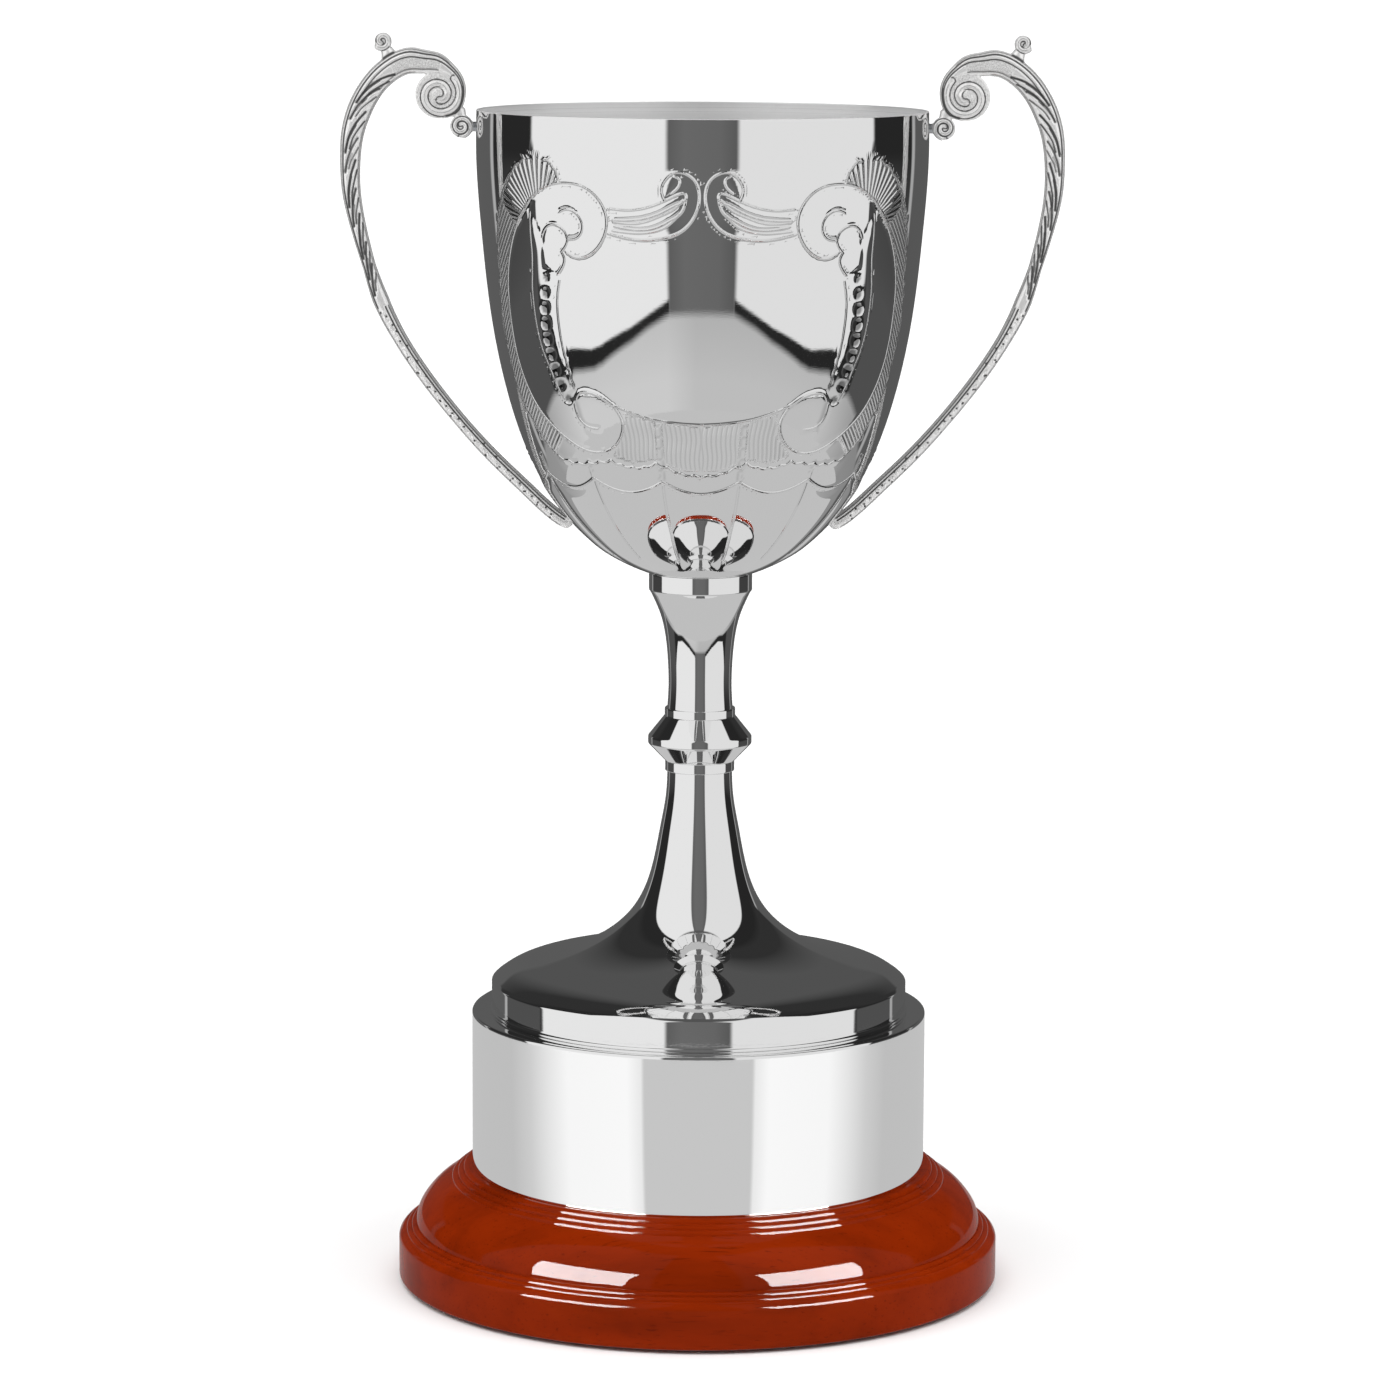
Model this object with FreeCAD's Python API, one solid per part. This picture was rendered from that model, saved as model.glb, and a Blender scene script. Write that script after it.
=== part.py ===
import FreeCAD, Part
import math
import os

# Presentation cup on a two-piece wooden plinth. Millimetres, +Z up, front faces -Y.
# The origin is the centre of the felt pad's underside, which the cup rests on.

V = FreeCAD.Vector

# Plinth
FELT_T = 1.0
FELT_R = 89.0
BASE_R = 95.2
BASE_TOP_Z = 36.5
BAND_TOP_Z = 86.5
BAND_R_BOTTOM = 71.8
BAND_R_TOP = 71.0
BAND_T = 0.8
BAND_EDGE_R = 0.7
BASE_SEAT_R = 72.9
BELL_TOP = (78.4, 32.2)
BELL_FOOT = (89.8, 18.6)
BEAD_BULGE = 0.55
EDGE_BREAK = 1.0

# Foot, knop and stem
FOOT_RIM_R = 65.6
FOOT_LIP_R = 66.1
FOOT_LIP_Z = 0.9
FOOT_RIM_TOP_Z = 94.9
FOOT_TOP_Z = 163.2
FOOT_T = 1.2
FOOT_PLATE_T = 4.0
KNOP_TOP_Z = 183.2
SPIGOT_R = 5.0
SPIGOT_L = 3.0
COLLAR_R = 16.2
COLLAR_BOTTOM_Z = 220.6

# Bowl
BOWL_BOTTOM_Z = 224.2
BOWL_FLAT_R = 8.0
BOWL_RIM_R = 70.0
BOWL_RIM_Z = 370.0
BOWL_T = 1.0

# Tie rod and its nuts (M6)
ROD_R = 3.0
ROD_BORE_R = 3.2
ROD_BOTTOM_Z = 3.0
COUNTERBORE_R = 12.0
COUNTERBORE_TOP_Z = 13.0
NUT_FLATS = 10.0
NUT_H = 5.0
BASE_WASHER_R = 9.0
BASE_WASHER_T = 1.6
LOCK_WASHER_R = 5.0
LOCK_WASHER_T = 1.6
LOCK_WASHER_GAP = 1.2
CAP_WASHER_R = 7.0
CAP_WASHER_T = 1.2
DOME_R = 4.4
ROD_IN_CAP = 5.5

# Wood screws and band pins
WOOD_SCREW_R = 1.75
WOOD_SCREW_HEAD_R = 3.8
WOOD_SCREW_TOP_Z = 50.0
WOOD_SCREW_RING_R = 45.0
WOOD_SCREWS = 3
PIN_R = 0.6
PIN_HEAD_R = 1.4
PIN_HEAD_H = 0.7
PIN_DEPTH = 6.0
PIN_Z = 41.5
PIN_ANGLES = (60.0, 120.0)

# Handles and their screws (M3)
RAIL_HALF_T = 3.4
VOLUTE_HALF_T = 4.0
HANDLE_SCREW_R = 1.5
HANDLE_HOLE_R = 1.7
HANDLE_TAP_DEPTH = 3.2
PAN_HEAD_R = 2.8
PAN_HEAD_H = 1.7
HANDLE_WASHER_R = 3.4
HANDLE_WASHER_T = 0.6
BOSS_R = 3.3
UPPER_SCREW_Z = 364.6
LOWER_SCREW_POINT = (40.6, 243.1)
LOWER_SCREW_TILT = 38.0

# Outer curve of the bowl from its bottom to its rim, as (radius, height).
BOWL_CURVE = [(BOWL_FLAT_R, BOWL_BOTTOM_Z), (16.3, 226.0), (28.8, 232.4), (39.7, 242.0), (48.7, 253.5),
              (55.0, 266.0), (60.6, 283.0), (65.7, 308.0), (68.5, 333.0), (70.1, 357.0),
              (BOWL_RIM_R, BOWL_RIM_Z)]

# Outer curve of the foot from its rim to its neck.
FOOT_CURVE = [(64.8, 96.6), (61.0, 99.2), (50.0, 102.5), (38.0, 106.1), (31.0, 109.7), (26.0, 113.4),
              (22.2, 117.2), (17.4, 125.0), (14.2, 135.5), (12.2, 146.0), (10.6, 155.5),
              (10.2, FOOT_TOP_Z)]

# Waist of the upper stem, from the knop to the collar.
STEM_CURVE = [(10.3, KNOP_TOP_Z), (9.95, 189.0), (10.05, 196.0), (10.9, 205.5), (12.4, 212.3),
              (15.6, 219.8)]

# Handle rail in the XZ plane: the outer edge from the arch down to the tip, then the inner edge back up.
RAIL_TOP = [(74.0, 374.5), (74.9, 379.7), (77.2, 383.2), (80.4, 386.0), (83.6, 387.9), (87.6, 388.7),
            (94.6, 388.0)]
RAIL_OUTER = [(100.3, 385.2), (104.3, 380.2), (107.7, 375.5), (110.6, 368.9), (112.3, 354.6),
              (110.6, 339.2), (105.4, 321.0), (96.4, 298.8), (83.1, 280.0), (67.0, 261.2),
              (50.6, 246.4), (42.4, 238.9)]
RAIL_INNER = [(38.0, 240.0), (44.9, 246.4), (53.6, 255.0), (67.3, 267.5), (82.8, 286.3), (93.8, 305.0),
              (101.2, 320.6), (105.0, 339.2), (106.0, 352.0), (103.8, 365.0), (99.4, 374.0),
              (93.6, 379.0), (87.9, 380.4)]
WEB = [(73.9, 373.0), (72.0, 369.4), (69.0, 368.2), (69.0, 361.4), (73.5, 361.2), (78.8, 367.2),
       (80.0, 374.0)]
BIG_VOLUTE = (81.5, 374.4, 7.5)
SMALL_VOLUTE = (74.6, 364.7, 3.7)
FINIAL = (99.0, 390.9, 2.9)
FINIAL_STEM = [(94.6, 386.0), (96.6, 391.0), (101.3, 390.0), (101.0, 384.0)]


def point(r, z):
    """A point of an outline in the XZ plane."""
    return V(r, 0, z)


def line(a, b):
    """A straight edge between two (radius, height) points."""
    return Part.makeLine(point(*a), point(*b))


def polyline(points):
    """Straight edges through the points, one after another."""
    return [line(a, b) for a, b in zip(points, points[1:])]


def spline(points):
    """A smooth edge through the points."""
    curve = Part.BSplineCurve()
    curve.interpolate([point(r, z) for r, z in points])
    return curve.toShape()


def arc(a, b, bulge):
    """An arc from a to b that stands out by bulge to the left of the way from b to a."""
    dx = b[0] - a[0]
    dz = b[1] - a[1]
    length = math.hypot(dx, dz)
    middle = ((a[0] + b[0]) / 2 - dz / length * bulge, (a[1] + b[1]) / 2 + dx / length * bulge)
    return Part.Arc(point(*a), point(*middle), point(*b)).toShape()


def offset(points, distance):
    """The points of a rising spline moved by distance across it, towards the axis."""
    curve = Part.BSplineCurve()
    curve.interpolate([point(r, z) for r, z in points])
    moved = []
    for r, z in points:
        tangent = curve.tangent(curve.parameter(point(r, z)))[0]
        moved.append((r - tangent.z * distance, z + tangent.x * distance))
    return moved


def turned(edges):
    """A solid of revolution about Z from a closed outline."""
    wire = Part.Wire(Part.__sortEdges__(edges))
    return Part.Face(wire).revolve(V(0, 0, 0), V(0, 0, 1), 360)


def rod(radius, z0, z1, x=0.0, y=0.0):
    """A vertical cylinder between two heights."""
    return Part.makeCylinder(radius, z1 - z0, V(x, y, z0))


def ring(outer, inner, z0, z1):
    """A flat ring about Z."""
    return rod(outer, z0, z1).cut(rod(inner, z0, z1))


def hexagon(flats, z0, z1):
    """A hexagonal prism about Z, with its corner circle broken at both ends."""
    corner = flats / math.sqrt(3)
    corners = [V(corner * math.cos(math.radians(60 * i)), corner * math.sin(math.radians(60 * i)), z0)
               for i in range(7)]
    prism = Part.Face(Part.makePolygon(corners)).extrude(V(0, 0, z1 - z0))
    height = z1 - z0
    trim = rod(corner * 0.985, z0, z1)
    trim = trim.makeChamfer(0.25 * height / NUT_H, [trim.Edges[0], trim.Edges[2]])
    return prism.common(trim)


def save(name, shape):
    """Check that a sub-part is sound and write it."""
    shape = shape.removeSplitter()
    if not shape.isValid():
        raise ValueError(name + " is not a valid shape")
    for solid in shape.Solids:
        if solid.Volume < 1.0:
            raise ValueError(name + " holds a solid that is too small")
    shape.exportStep("parts/" + name + ".step")
    print(name, len(shape.Solids), "solids,", round(shape.Volume), "mm3")


def wood_screw_places():
    """The (x, y) places of the wood screws."""
    step = 2 * math.pi / WOOD_SCREWS
    return [(WOOD_SCREW_RING_R * math.cos(i * step + math.pi / 2),
             WOOD_SCREW_RING_R * math.sin(i * step + math.pi / 2)) for i in range(WOOD_SCREWS)]


def wood_screw(x, y):
    """One countersunk screw: its head flush with the base's underside, its shank up into the drum."""
    head_h = WOOD_SCREW_HEAD_R - WOOD_SCREW_R
    head = Part.makeCone(WOOD_SCREW_HEAD_R, WOOD_SCREW_R, head_h, V(x, y, FELT_T))
    shank = rod(WOOD_SCREW_R, FELT_T, WOOD_SCREW_TOP_Z - WOOD_SCREW_R, x, y)
    tip = Part.makeCone(WOOD_SCREW_R, 0.0, WOOD_SCREW_R, V(x, y, WOOD_SCREW_TOP_Z - WOOD_SCREW_R))
    return head.fuse([shank, tip]).removeSplitter()


def wood_screw_group():
    """All the wood screws."""
    return Part.makeCompound([wood_screw(x, y) for x, y in wood_screw_places()])


def slotted_screw_group():
    """The wood screws with a driving slot in each head."""
    slots = [Part.makeBox(2 * WOOD_SCREW_HEAD_R, 1.0, 0.8, V(x - WOOD_SCREW_HEAD_R, y - 0.5, FELT_T))
             for x, y in wood_screw_places()]
    return wood_screw_group().cut(Part.makeCompound(slots))


def band_radius(z):
    """Outer radius of the tapered band at a height."""
    share = (z - BASE_TOP_Z) / (BAND_TOP_Z - BASE_TOP_Z)
    return BAND_R_BOTTOM + (BAND_R_TOP - BAND_R_BOTTOM) * share


def band_pin(angle):
    """One round-head pin that points at the axis, standing on the band's skirt."""
    face_r = band_radius(PIN_Z)
    ball_r = (PIN_HEAD_R ** 2 + PIN_HEAD_H ** 2) / (2 * PIN_HEAD_H)
    shank = Part.makeCylinder(PIN_R, PIN_DEPTH + PIN_HEAD_H / 2, V(face_r - PIN_DEPTH, 0, PIN_Z), V(1, 0, 0))
    head = Part.makeSphere(ball_r, V(face_r + PIN_HEAD_H - ball_r, 0, PIN_Z))
    keep = Part.makeCylinder(ball_r, PIN_HEAD_H + BAND_T, V(face_r, 0, PIN_Z), V(1, 0, 0))
    pin = shank.fuse(head.common(keep).cut(band_envelope())).removeSplitter()
    pin.rotate(V(0, 0, 0), V(0, 0, 1), angle)
    return pin


def band_envelope():
    """Everything inside the band's outer surface."""
    edges = polyline([(0, BASE_TOP_Z), (BAND_R_BOTTOM, BASE_TOP_Z), (BAND_R_TOP, BAND_TOP_Z), (0, BAND_TOP_Z),
                      (0, BASE_TOP_Z)])
    return turned(edges)


def band_pin_group():
    """Both band pins."""
    return Part.makeCompound([band_pin(angle) for angle in PIN_ANGLES])


def felt_pad():
    """Felt disc under the base."""
    return rod(FELT_R, 0, FELT_T)


def plinth_base():
    """Turned moulding: three beads, a bell, two fine beads and a straight side."""
    step = ((BELL_TOP[0] - BASE_SEAT_R) / 3, (BELL_TOP[1] - BASE_TOP_Z) / 3)
    beads = [(BASE_SEAT_R + i * step[0], BASE_TOP_Z + i * step[1]) for i in range(4)]
    quirk = (BELL_FOOT[0], BELL_FOOT[1] - 0.7)
    fillets = [quirk, (91.3, 16.7), (92.9, 15.7)]
    edges = [line((ROD_BORE_R, BASE_TOP_Z), beads[0])]
    edges += [arc(a, b, BEAD_BULGE) for a, b in zip(beads, beads[1:])]
    edges.append(spline([BELL_TOP, (82.6, 29.6), (86.6, 25.6), (89.0, 21.6), BELL_FOOT]))
    edges.append(line(BELL_FOOT, quirk))
    edges += [arc(a, b, BEAD_BULGE * 0.8) for a, b in zip(fillets, fillets[1:])]
    edges.append(line(fillets[-1], (93.9, 15.4)))
    edges.append(arc((93.9, 15.4), (BASE_R, 14.0), 0.35))
    edges += polyline([(BASE_R, 14.0), (BASE_R, FELT_T + EDGE_BREAK), (BASE_R - EDGE_BREAK, FELT_T),
                       (COUNTERBORE_R, FELT_T), (COUNTERBORE_R, COUNTERBORE_TOP_Z),
                       (ROD_BORE_R, COUNTERBORE_TOP_Z), (ROD_BORE_R, BASE_TOP_Z)])
    return turned(edges).cut(wood_screw_group())


def plinth_drum():
    """Wooden core that fills the band."""
    edges = polyline([(ROD_BORE_R, BASE_TOP_Z), (BAND_R_BOTTOM - BAND_T, BASE_TOP_Z),
                      (BAND_R_TOP - BAND_T, BAND_TOP_Z - BAND_T), (ROD_BORE_R, BAND_TOP_Z - BAND_T),
                      (ROD_BORE_R, BASE_TOP_Z)])
    return turned(edges).cut(wood_screw_group()).cut(band_pin_group())


def plinth_band():
    """Spun cap over the drum: a tall skirt, a rounded edge and a flat top."""
    corner_a = (band_radius(BAND_TOP_Z - BAND_EDGE_R), BAND_TOP_Z - BAND_EDGE_R)
    corner_b = (BAND_R_TOP - BAND_EDGE_R, BAND_TOP_Z)
    edges = polyline([(BAND_R_BOTTOM - BAND_T, BASE_TOP_Z), (BAND_R_BOTTOM, BASE_TOP_Z), corner_a])
    edges.append(arc(corner_a, corner_b, -BAND_EDGE_R * 0.29))
    edges += polyline([corner_b, (ROD_BORE_R, BAND_TOP_Z), (ROD_BORE_R, BAND_TOP_Z - BAND_T),
                       (BAND_R_TOP - BAND_T, BAND_TOP_Z - BAND_T), (BAND_R_BOTTOM - BAND_T, BASE_TOP_Z)])
    return turned(edges).cut(band_pin_group())


def foot():
    """Spun trumpet foot, hollow, with a thick end plate that seats the knop's spigot."""
    inner = offset(FOOT_CURVE, FOOT_T)
    plate_z = FOOT_TOP_Z - FOOT_PLATE_T
    inner = [p for p in inner if p[1] < plate_z - 4 * FOOT_T]
    inner.append((FOOT_CURVE[-1][0] - FOOT_T, plate_z))
    rim_in = FOOT_RIM_R - FOOT_T
    edges = [spline(FOOT_CURVE), line(FOOT_CURVE[-1], (SPIGOT_R, FOOT_TOP_Z))]
    edges += polyline([(SPIGOT_R, FOOT_TOP_Z), (SPIGOT_R, plate_z), inner[-1]])
    edges.append(spline(inner))
    edges += polyline([inner[0], (rim_in, FOOT_RIM_TOP_Z - FOOT_T), (rim_in, BAND_TOP_Z),
                       (FOOT_LIP_R, BAND_TOP_Z), (FOOT_LIP_R, BAND_TOP_Z + FOOT_LIP_Z),
                       (FOOT_RIM_R, BAND_TOP_Z + FOOT_LIP_Z + 0.3), (FOOT_RIM_R, FOOT_RIM_TOP_Z)])
    edges.append(arc((FOOT_RIM_R, FOOT_RIM_TOP_Z), FOOT_CURVE[0], -0.35))
    return turned(edges)


def knop():
    """Double-cone knop between two collars, with a spigot at each end."""
    low = FOOT_TOP_Z
    top = KNOP_TOP_Z
    outline = [(ROD_BORE_R, low - SPIGOT_L), (SPIGOT_R, low - SPIGOT_L), (SPIGOT_R, low), (10.9, low),
               (10.9, 166.4), (11.2, 166.6), (16.1, 171.6), (16.3, 172.0), (16.3, 174.1), (16.0, 174.6),
               (11.4, 180.4), (11.1, 180.6), (11.1, top), (SPIGOT_R, top), (SPIGOT_R, top + SPIGOT_L),
               (ROD_BORE_R, top + SPIGOT_L), (ROD_BORE_R, low - SPIGOT_L)]
    return turned(polyline(outline))


def upper_stem():
    """Waisted stem with a broad collar, hollowed at the top to the bowl's own curve."""
    foot_z = KNOP_TOP_Z
    over_z = BOWL_BOTTOM_Z + 4.0
    edges = [spline(STEM_CURVE)]
    edges += polyline([STEM_CURVE[-1], (COLLAR_R, COLLAR_BOTTOM_Z), (COLLAR_R, over_z), (ROD_BORE_R, over_z),
                       (ROD_BORE_R, foot_z + SPIGOT_L), (SPIGOT_R, foot_z + SPIGOT_L), (SPIGOT_R, foot_z),
                       STEM_CURVE[0]])
    return turned(edges).cut(bowl_envelope())


def bowl_envelope():
    """Everything inside the bowl's outer surface, up to its rim."""
    edges = [spline(BOWL_CURVE)]
    edges += polyline([BOWL_CURVE[-1], (0, BOWL_RIM_Z), (0, BOWL_BOTTOM_Z), BOWL_CURVE[0]])
    return turned(edges)


def bowl_hollow():
    """The space inside the bowl's wall."""
    inner = offset(BOWL_CURVE, BOWL_T)
    floor_z = BOWL_BOTTOM_Z + BOWL_T
    inner[0] = (BOWL_FLAT_R, floor_z)
    edges = [spline(inner)]
    edges += polyline([inner[-1], (0, inner[-1][1]), (0, floor_z), inner[0]])
    hollow = turned(edges)
    mouth = rod(inner[-1][0], inner[-1][1], BOWL_RIM_Z + 1)
    return hollow.fuse(mouth)


def bowl():
    """Spun bowl with a hole for the tie rod and four for the handle screws."""
    shell = bowl_envelope().cut(bowl_hollow())
    shell = shell.cut(rod(ROD_BORE_R, BOWL_BOTTOM_Z - 1, BOWL_BOTTOM_Z + 2 * BOWL_T))
    holes = [handle_cylinder(HANDLE_HOLE_R, -3 * BOWL_T, 2 * BOWL_T, place, side)
             for place in handle_screw_places() for side in (1, -1)]
    return shell.cut(Part.makeCompound(holes))


def handle_screw_places():
    """Each handle screw's point on the bowl's outer surface and its outward direction, at the +X side."""
    tilt = math.radians(LOWER_SCREW_TILT)
    upper = (V(BOWL_RIM_R, 0, UPPER_SCREW_Z), V(1, 0, 0))
    lower = (V(LOWER_SCREW_POINT[0], 0, LOWER_SCREW_POINT[1]), V(math.cos(tilt), 0, -math.sin(tilt)))
    return [upper, lower]


def on_side(shape, side):
    """The shape itself, or its mirror image for the -X side."""
    if side > 0:
        return shape
    return shape.mirror(V(0, 0, 0), V(1, 0, 0))


def handle_cylinder(radius, start, length, place, side):
    """A cylinder on a handle screw's line, from start outward of the bowl's surface."""
    origin, direction = place
    return on_side(Part.makeCylinder(radius, length - start, origin + direction * start, direction), side)


def plate(points, half_t):
    """A flat plate in the XZ plane from straight-edged corners."""
    wire = Part.makePolygon([V(x, -half_t, z) for x, z in points + points[:1]])
    return Part.Face(wire).extrude(V(0, 2 * half_t, 0))


def disc(place, half_t):
    """A round boss across the handle, from its centre and radius."""
    x, z, radius = place
    return Part.makeCylinder(radius, 2 * half_t, V(x, -half_t, z), V(0, 1, 0))


def rail():
    """The swept bar of the handle as one plate with curved edges."""
    edges = [spline(RAIL_TOP), line(RAIL_TOP[-1], RAIL_OUTER[0]), spline(RAIL_OUTER),
             line(RAIL_OUTER[-1], RAIL_INNER[0]), spline(RAIL_INNER), line(RAIL_INNER[-1], RAIL_TOP[0])]
    face = Part.Face(Part.Wire(Part.__sortEdges__(edges)))
    face.translate(V(0, -RAIL_HALF_T, 0))
    return face.extrude(V(0, 2 * RAIL_HALF_T, 0))


def handle(side):
    """Cast handle: rail, two volutes, a finial scroll and a boss, fitted to the bowl and tapped."""
    boss = Part.makeCylinder(BOSS_R, SMALL_VOLUTE[0] - BOWL_RIM_R + 1, V(BOWL_RIM_R - 1, 0, UPPER_SCREW_Z),
                             V(1, 0, 0))
    pieces = [disc(BIG_VOLUTE, VOLUTE_HALF_T), disc(SMALL_VOLUTE, RAIL_HALF_T), disc(FINIAL, RAIL_HALF_T),
              plate(FINIAL_STEM, RAIL_HALF_T), plate(WEB, RAIL_HALF_T), boss]
    body = rail().fuse(pieces)
    body = body.cut(bowl_envelope().fuse(rod(BOWL_RIM_R, BOWL_RIM_Z - 1, BOWL_RIM_Z + 5)))
    for place in handle_screw_places():
        body = body.cut(handle_cylinder(HANDLE_SCREW_R, -1, HANDLE_TAP_DEPTH, place, 1))
    return on_side(body.removeSplitter(), side)


def handle_washer(place, side):
    """Washer whose face against the wall has the bowl's own curve."""
    solid = handle_cylinder(HANDLE_WASHER_R, -BOWL_T - HANDLE_WASHER_T, 0, place, side)
    solid = solid.cut(handle_cylinder(HANDLE_HOLE_R, -4 * BOWL_T, 1, place, side))
    return solid.common(bowl_hollow())


def handle_screw(place, side):
    """Pan-head screw from inside the bowl into the handle's tapped hole."""
    seat = -BOWL_T - HANDLE_WASHER_T
    shank = handle_cylinder(HANDLE_SCREW_R, seat - PAN_HEAD_H / 2, HANDLE_TAP_DEPTH, place, side)
    head = Part.makeCylinder(PAN_HEAD_R, PAN_HEAD_H, place[0] + place[1] * (seat - PAN_HEAD_H), place[1])
    crown = min(head.Edges, key=lambda e: (e.CenterOfMass - place[0]).dot(place[1]))
    head = head.makeFillet(PAN_HEAD_H * 0.5, [crown])
    return shank.fuse(on_side(head, side)).removeSplitter()


def handle_fasteners(maker):
    """One kind of fastener at all four handle screw places."""
    return Part.makeCompound([maker(place, side) for place in handle_screw_places() for side in (1, -1)])


def tie_rod():
    """Rod that holds plinth, foot, knop, stem and bowl together."""
    top = BOWL_BOTTOM_Z + BOWL_T + CAP_WASHER_T + ROD_IN_CAP
    bar = rod(ROD_R, ROD_BOTTOM_Z, top)
    return bar.makeChamfer(0.5, [bar.Edges[0], bar.Edges[2]])


def cap_washer():
    """Washer on the bowl's flat floor."""
    z = BOWL_BOTTOM_Z + BOWL_T
    return ring(CAP_WASHER_R, ROD_BORE_R, z, z + CAP_WASHER_T)


def cap_nut():
    """Domed nut on the rod's upper end."""
    z = BOWL_BOTTOM_Z + BOWL_T + CAP_WASHER_T
    dome = Part.makeSphere(DOME_R, V(0, 0, z + NUT_H)).common(rod(DOME_R, z, z + NUT_H + DOME_R))
    return hexagon(NUT_FLATS, z, z + NUT_H).fuse(dome).cut(tie_rod())


def base_washer():
    """Wide washer at the end of the base's counterbore."""
    return ring(BASE_WASHER_R, ROD_BORE_R, COUNTERBORE_TOP_Z - BASE_WASHER_T, COUNTERBORE_TOP_Z)


def lock_washer():
    """Split spring washer between the wide washer and the nut."""
    z1 = COUNTERBORE_TOP_Z - BASE_WASHER_T
    z0 = z1 - LOCK_WASHER_T
    corner = V(0, -LOCK_WASHER_GAP / 2, z0 - LOCK_WASHER_T / 2)
    gap = Part.makeBox(2 * LOCK_WASHER_R, LOCK_WASHER_GAP, 2 * LOCK_WASHER_T, corner)
    return ring(LOCK_WASHER_R, ROD_BORE_R, z0, z1).cut(gap)


def base_nut():
    """Nut on the rod's lower end."""
    z1 = COUNTERBORE_TOP_Z - BASE_WASHER_T - LOCK_WASHER_T
    return hexagon(NUT_FLATS, z1 - NUT_H, z1).cut(rod(ROD_R, 0, COUNTERBORE_TOP_Z))


os.makedirs("parts", exist_ok=True)
save("felt_pad", felt_pad())
save("plinth_base", plinth_base())
save("plinth_drum", plinth_drum())
save("plinth_band", plinth_band())
save("band_pins", band_pin_group())
save("plinth_screws", slotted_screw_group())
save("foot", foot())
save("knop", knop())
save("upper_stem", upper_stem())
save("bowl", bowl())
save("handle_right", handle(1))
save("handle_left", handle(-1))
save("handle_screws", handle_fasteners(handle_screw))
save("handle_washers", handle_fasteners(handle_washer))
save("tie_rod", tie_rod())
save("cap_washer", cap_washer())
save("cap_nut", cap_nut())
save("base_washer", base_washer())
save("lock_washer", lock_washer())
save("base_nut", base_nut())
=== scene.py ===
"""A chased two-handled cup on a lacquered plinth, built around its CAD frame."""
import math

import bmesh
import bpy
import numpy as np
from mathutils import Matrix, Vector


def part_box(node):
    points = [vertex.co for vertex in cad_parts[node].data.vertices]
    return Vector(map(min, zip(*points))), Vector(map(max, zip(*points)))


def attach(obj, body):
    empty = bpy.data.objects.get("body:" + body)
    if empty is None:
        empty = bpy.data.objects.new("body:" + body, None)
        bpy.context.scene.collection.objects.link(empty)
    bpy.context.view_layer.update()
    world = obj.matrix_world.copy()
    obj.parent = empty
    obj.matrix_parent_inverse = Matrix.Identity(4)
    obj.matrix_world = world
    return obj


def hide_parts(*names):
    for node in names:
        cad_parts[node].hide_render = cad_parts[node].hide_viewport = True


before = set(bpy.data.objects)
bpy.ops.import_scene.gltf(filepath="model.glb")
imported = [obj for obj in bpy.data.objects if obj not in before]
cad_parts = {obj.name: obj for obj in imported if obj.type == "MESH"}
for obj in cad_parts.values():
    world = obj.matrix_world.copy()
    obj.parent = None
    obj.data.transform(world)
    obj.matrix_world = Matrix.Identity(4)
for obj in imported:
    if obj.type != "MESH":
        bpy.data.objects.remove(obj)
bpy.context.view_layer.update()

bl_info = {
    "name": "Presentation Cup",
    "version": (1, 0, 0),
    "blender": (4, 5, 0),
    "location": "3D View > Sidebar > Cup",
    "description": "Builds a chased two-handled cup on a lacquered plinth around its CAD frame",
    "category": "Add Mesh",
}

MM = 0.001
BODY = "root"


# ---------------------------------------------------------------- curves

class Path:
    """A smooth curve through points: a natural cubic spline by chord length."""

    def __init__(self, points):
        self.points = np.array(points, float)
        steps = np.linalg.norm(np.diff(self.points, axis=0), axis=1)
        self.at = np.concatenate([[0.0], np.cumsum(steps)])
        count = len(self.points)
        matrix = np.eye(count)
        right = np.zeros_like(self.points)
        for i in range(1, count - 1):
            matrix[i, i - 1:i + 2] = steps[i - 1], 2 * (steps[i - 1] + steps[i]), steps[i]
            slopes = np.diff(self.points[i - 1:i + 2], axis=0) / steps[i - 1:i + 1, None]
            right[i] = 6 * (slopes[1] - slopes[0])
        self.bends = np.linalg.solve(matrix, right)

    def __call__(self, at):
        """Points on the curve at distances along it."""
        at = np.atleast_1d(at)
        i = np.clip(np.searchsorted(self.at, at) - 1, 0, len(self.at) - 2)
        step = (self.at[i + 1] - self.at[i])[:, None]
        b = (at - self.at[i])[:, None] / step
        a = 1 - b
        bent = ((a ** 3 - a) * self.bends[i] + (b ** 3 - b) * self.bends[i + 1]) * step ** 2 / 6
        return a * self.points[i] + b * self.points[i + 1] + bent

    def spread(self, count):
        """Points evenly spread along the curve, its ends included."""
        return self(np.linspace(0, self.at[-1], count))

    def spaced(self, gap):
        """Points along the curve about gap apart."""
        return self.spread(max(3, int(self.at[-1] / gap) + 1))


def arc_points(a, b, bulge, count):
    """Points after a up to b on an arc that stands out by bulge, to the left of the way from a to b."""
    a, b = np.array(a, float), np.array(b, float)
    half = np.linalg.norm(b - a) / 2
    side = np.array([a[1] - b[1], b[0] - a[0]]) / (2 * half)
    radius = (half ** 2 + bulge ** 2) / (2 * bulge)
    centre = (a + b) / 2 - side * (radius - bulge)
    turn = math.asin(max(-1.0, min(1.0, half / radius)))
    along = (b - a) / (2 * half)
    angles = np.linspace(-turn, turn, count + 1)[1:]
    return [tuple(centre + side * radius * math.cos(t) + along * radius * math.sin(t)) for t in angles]


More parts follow.
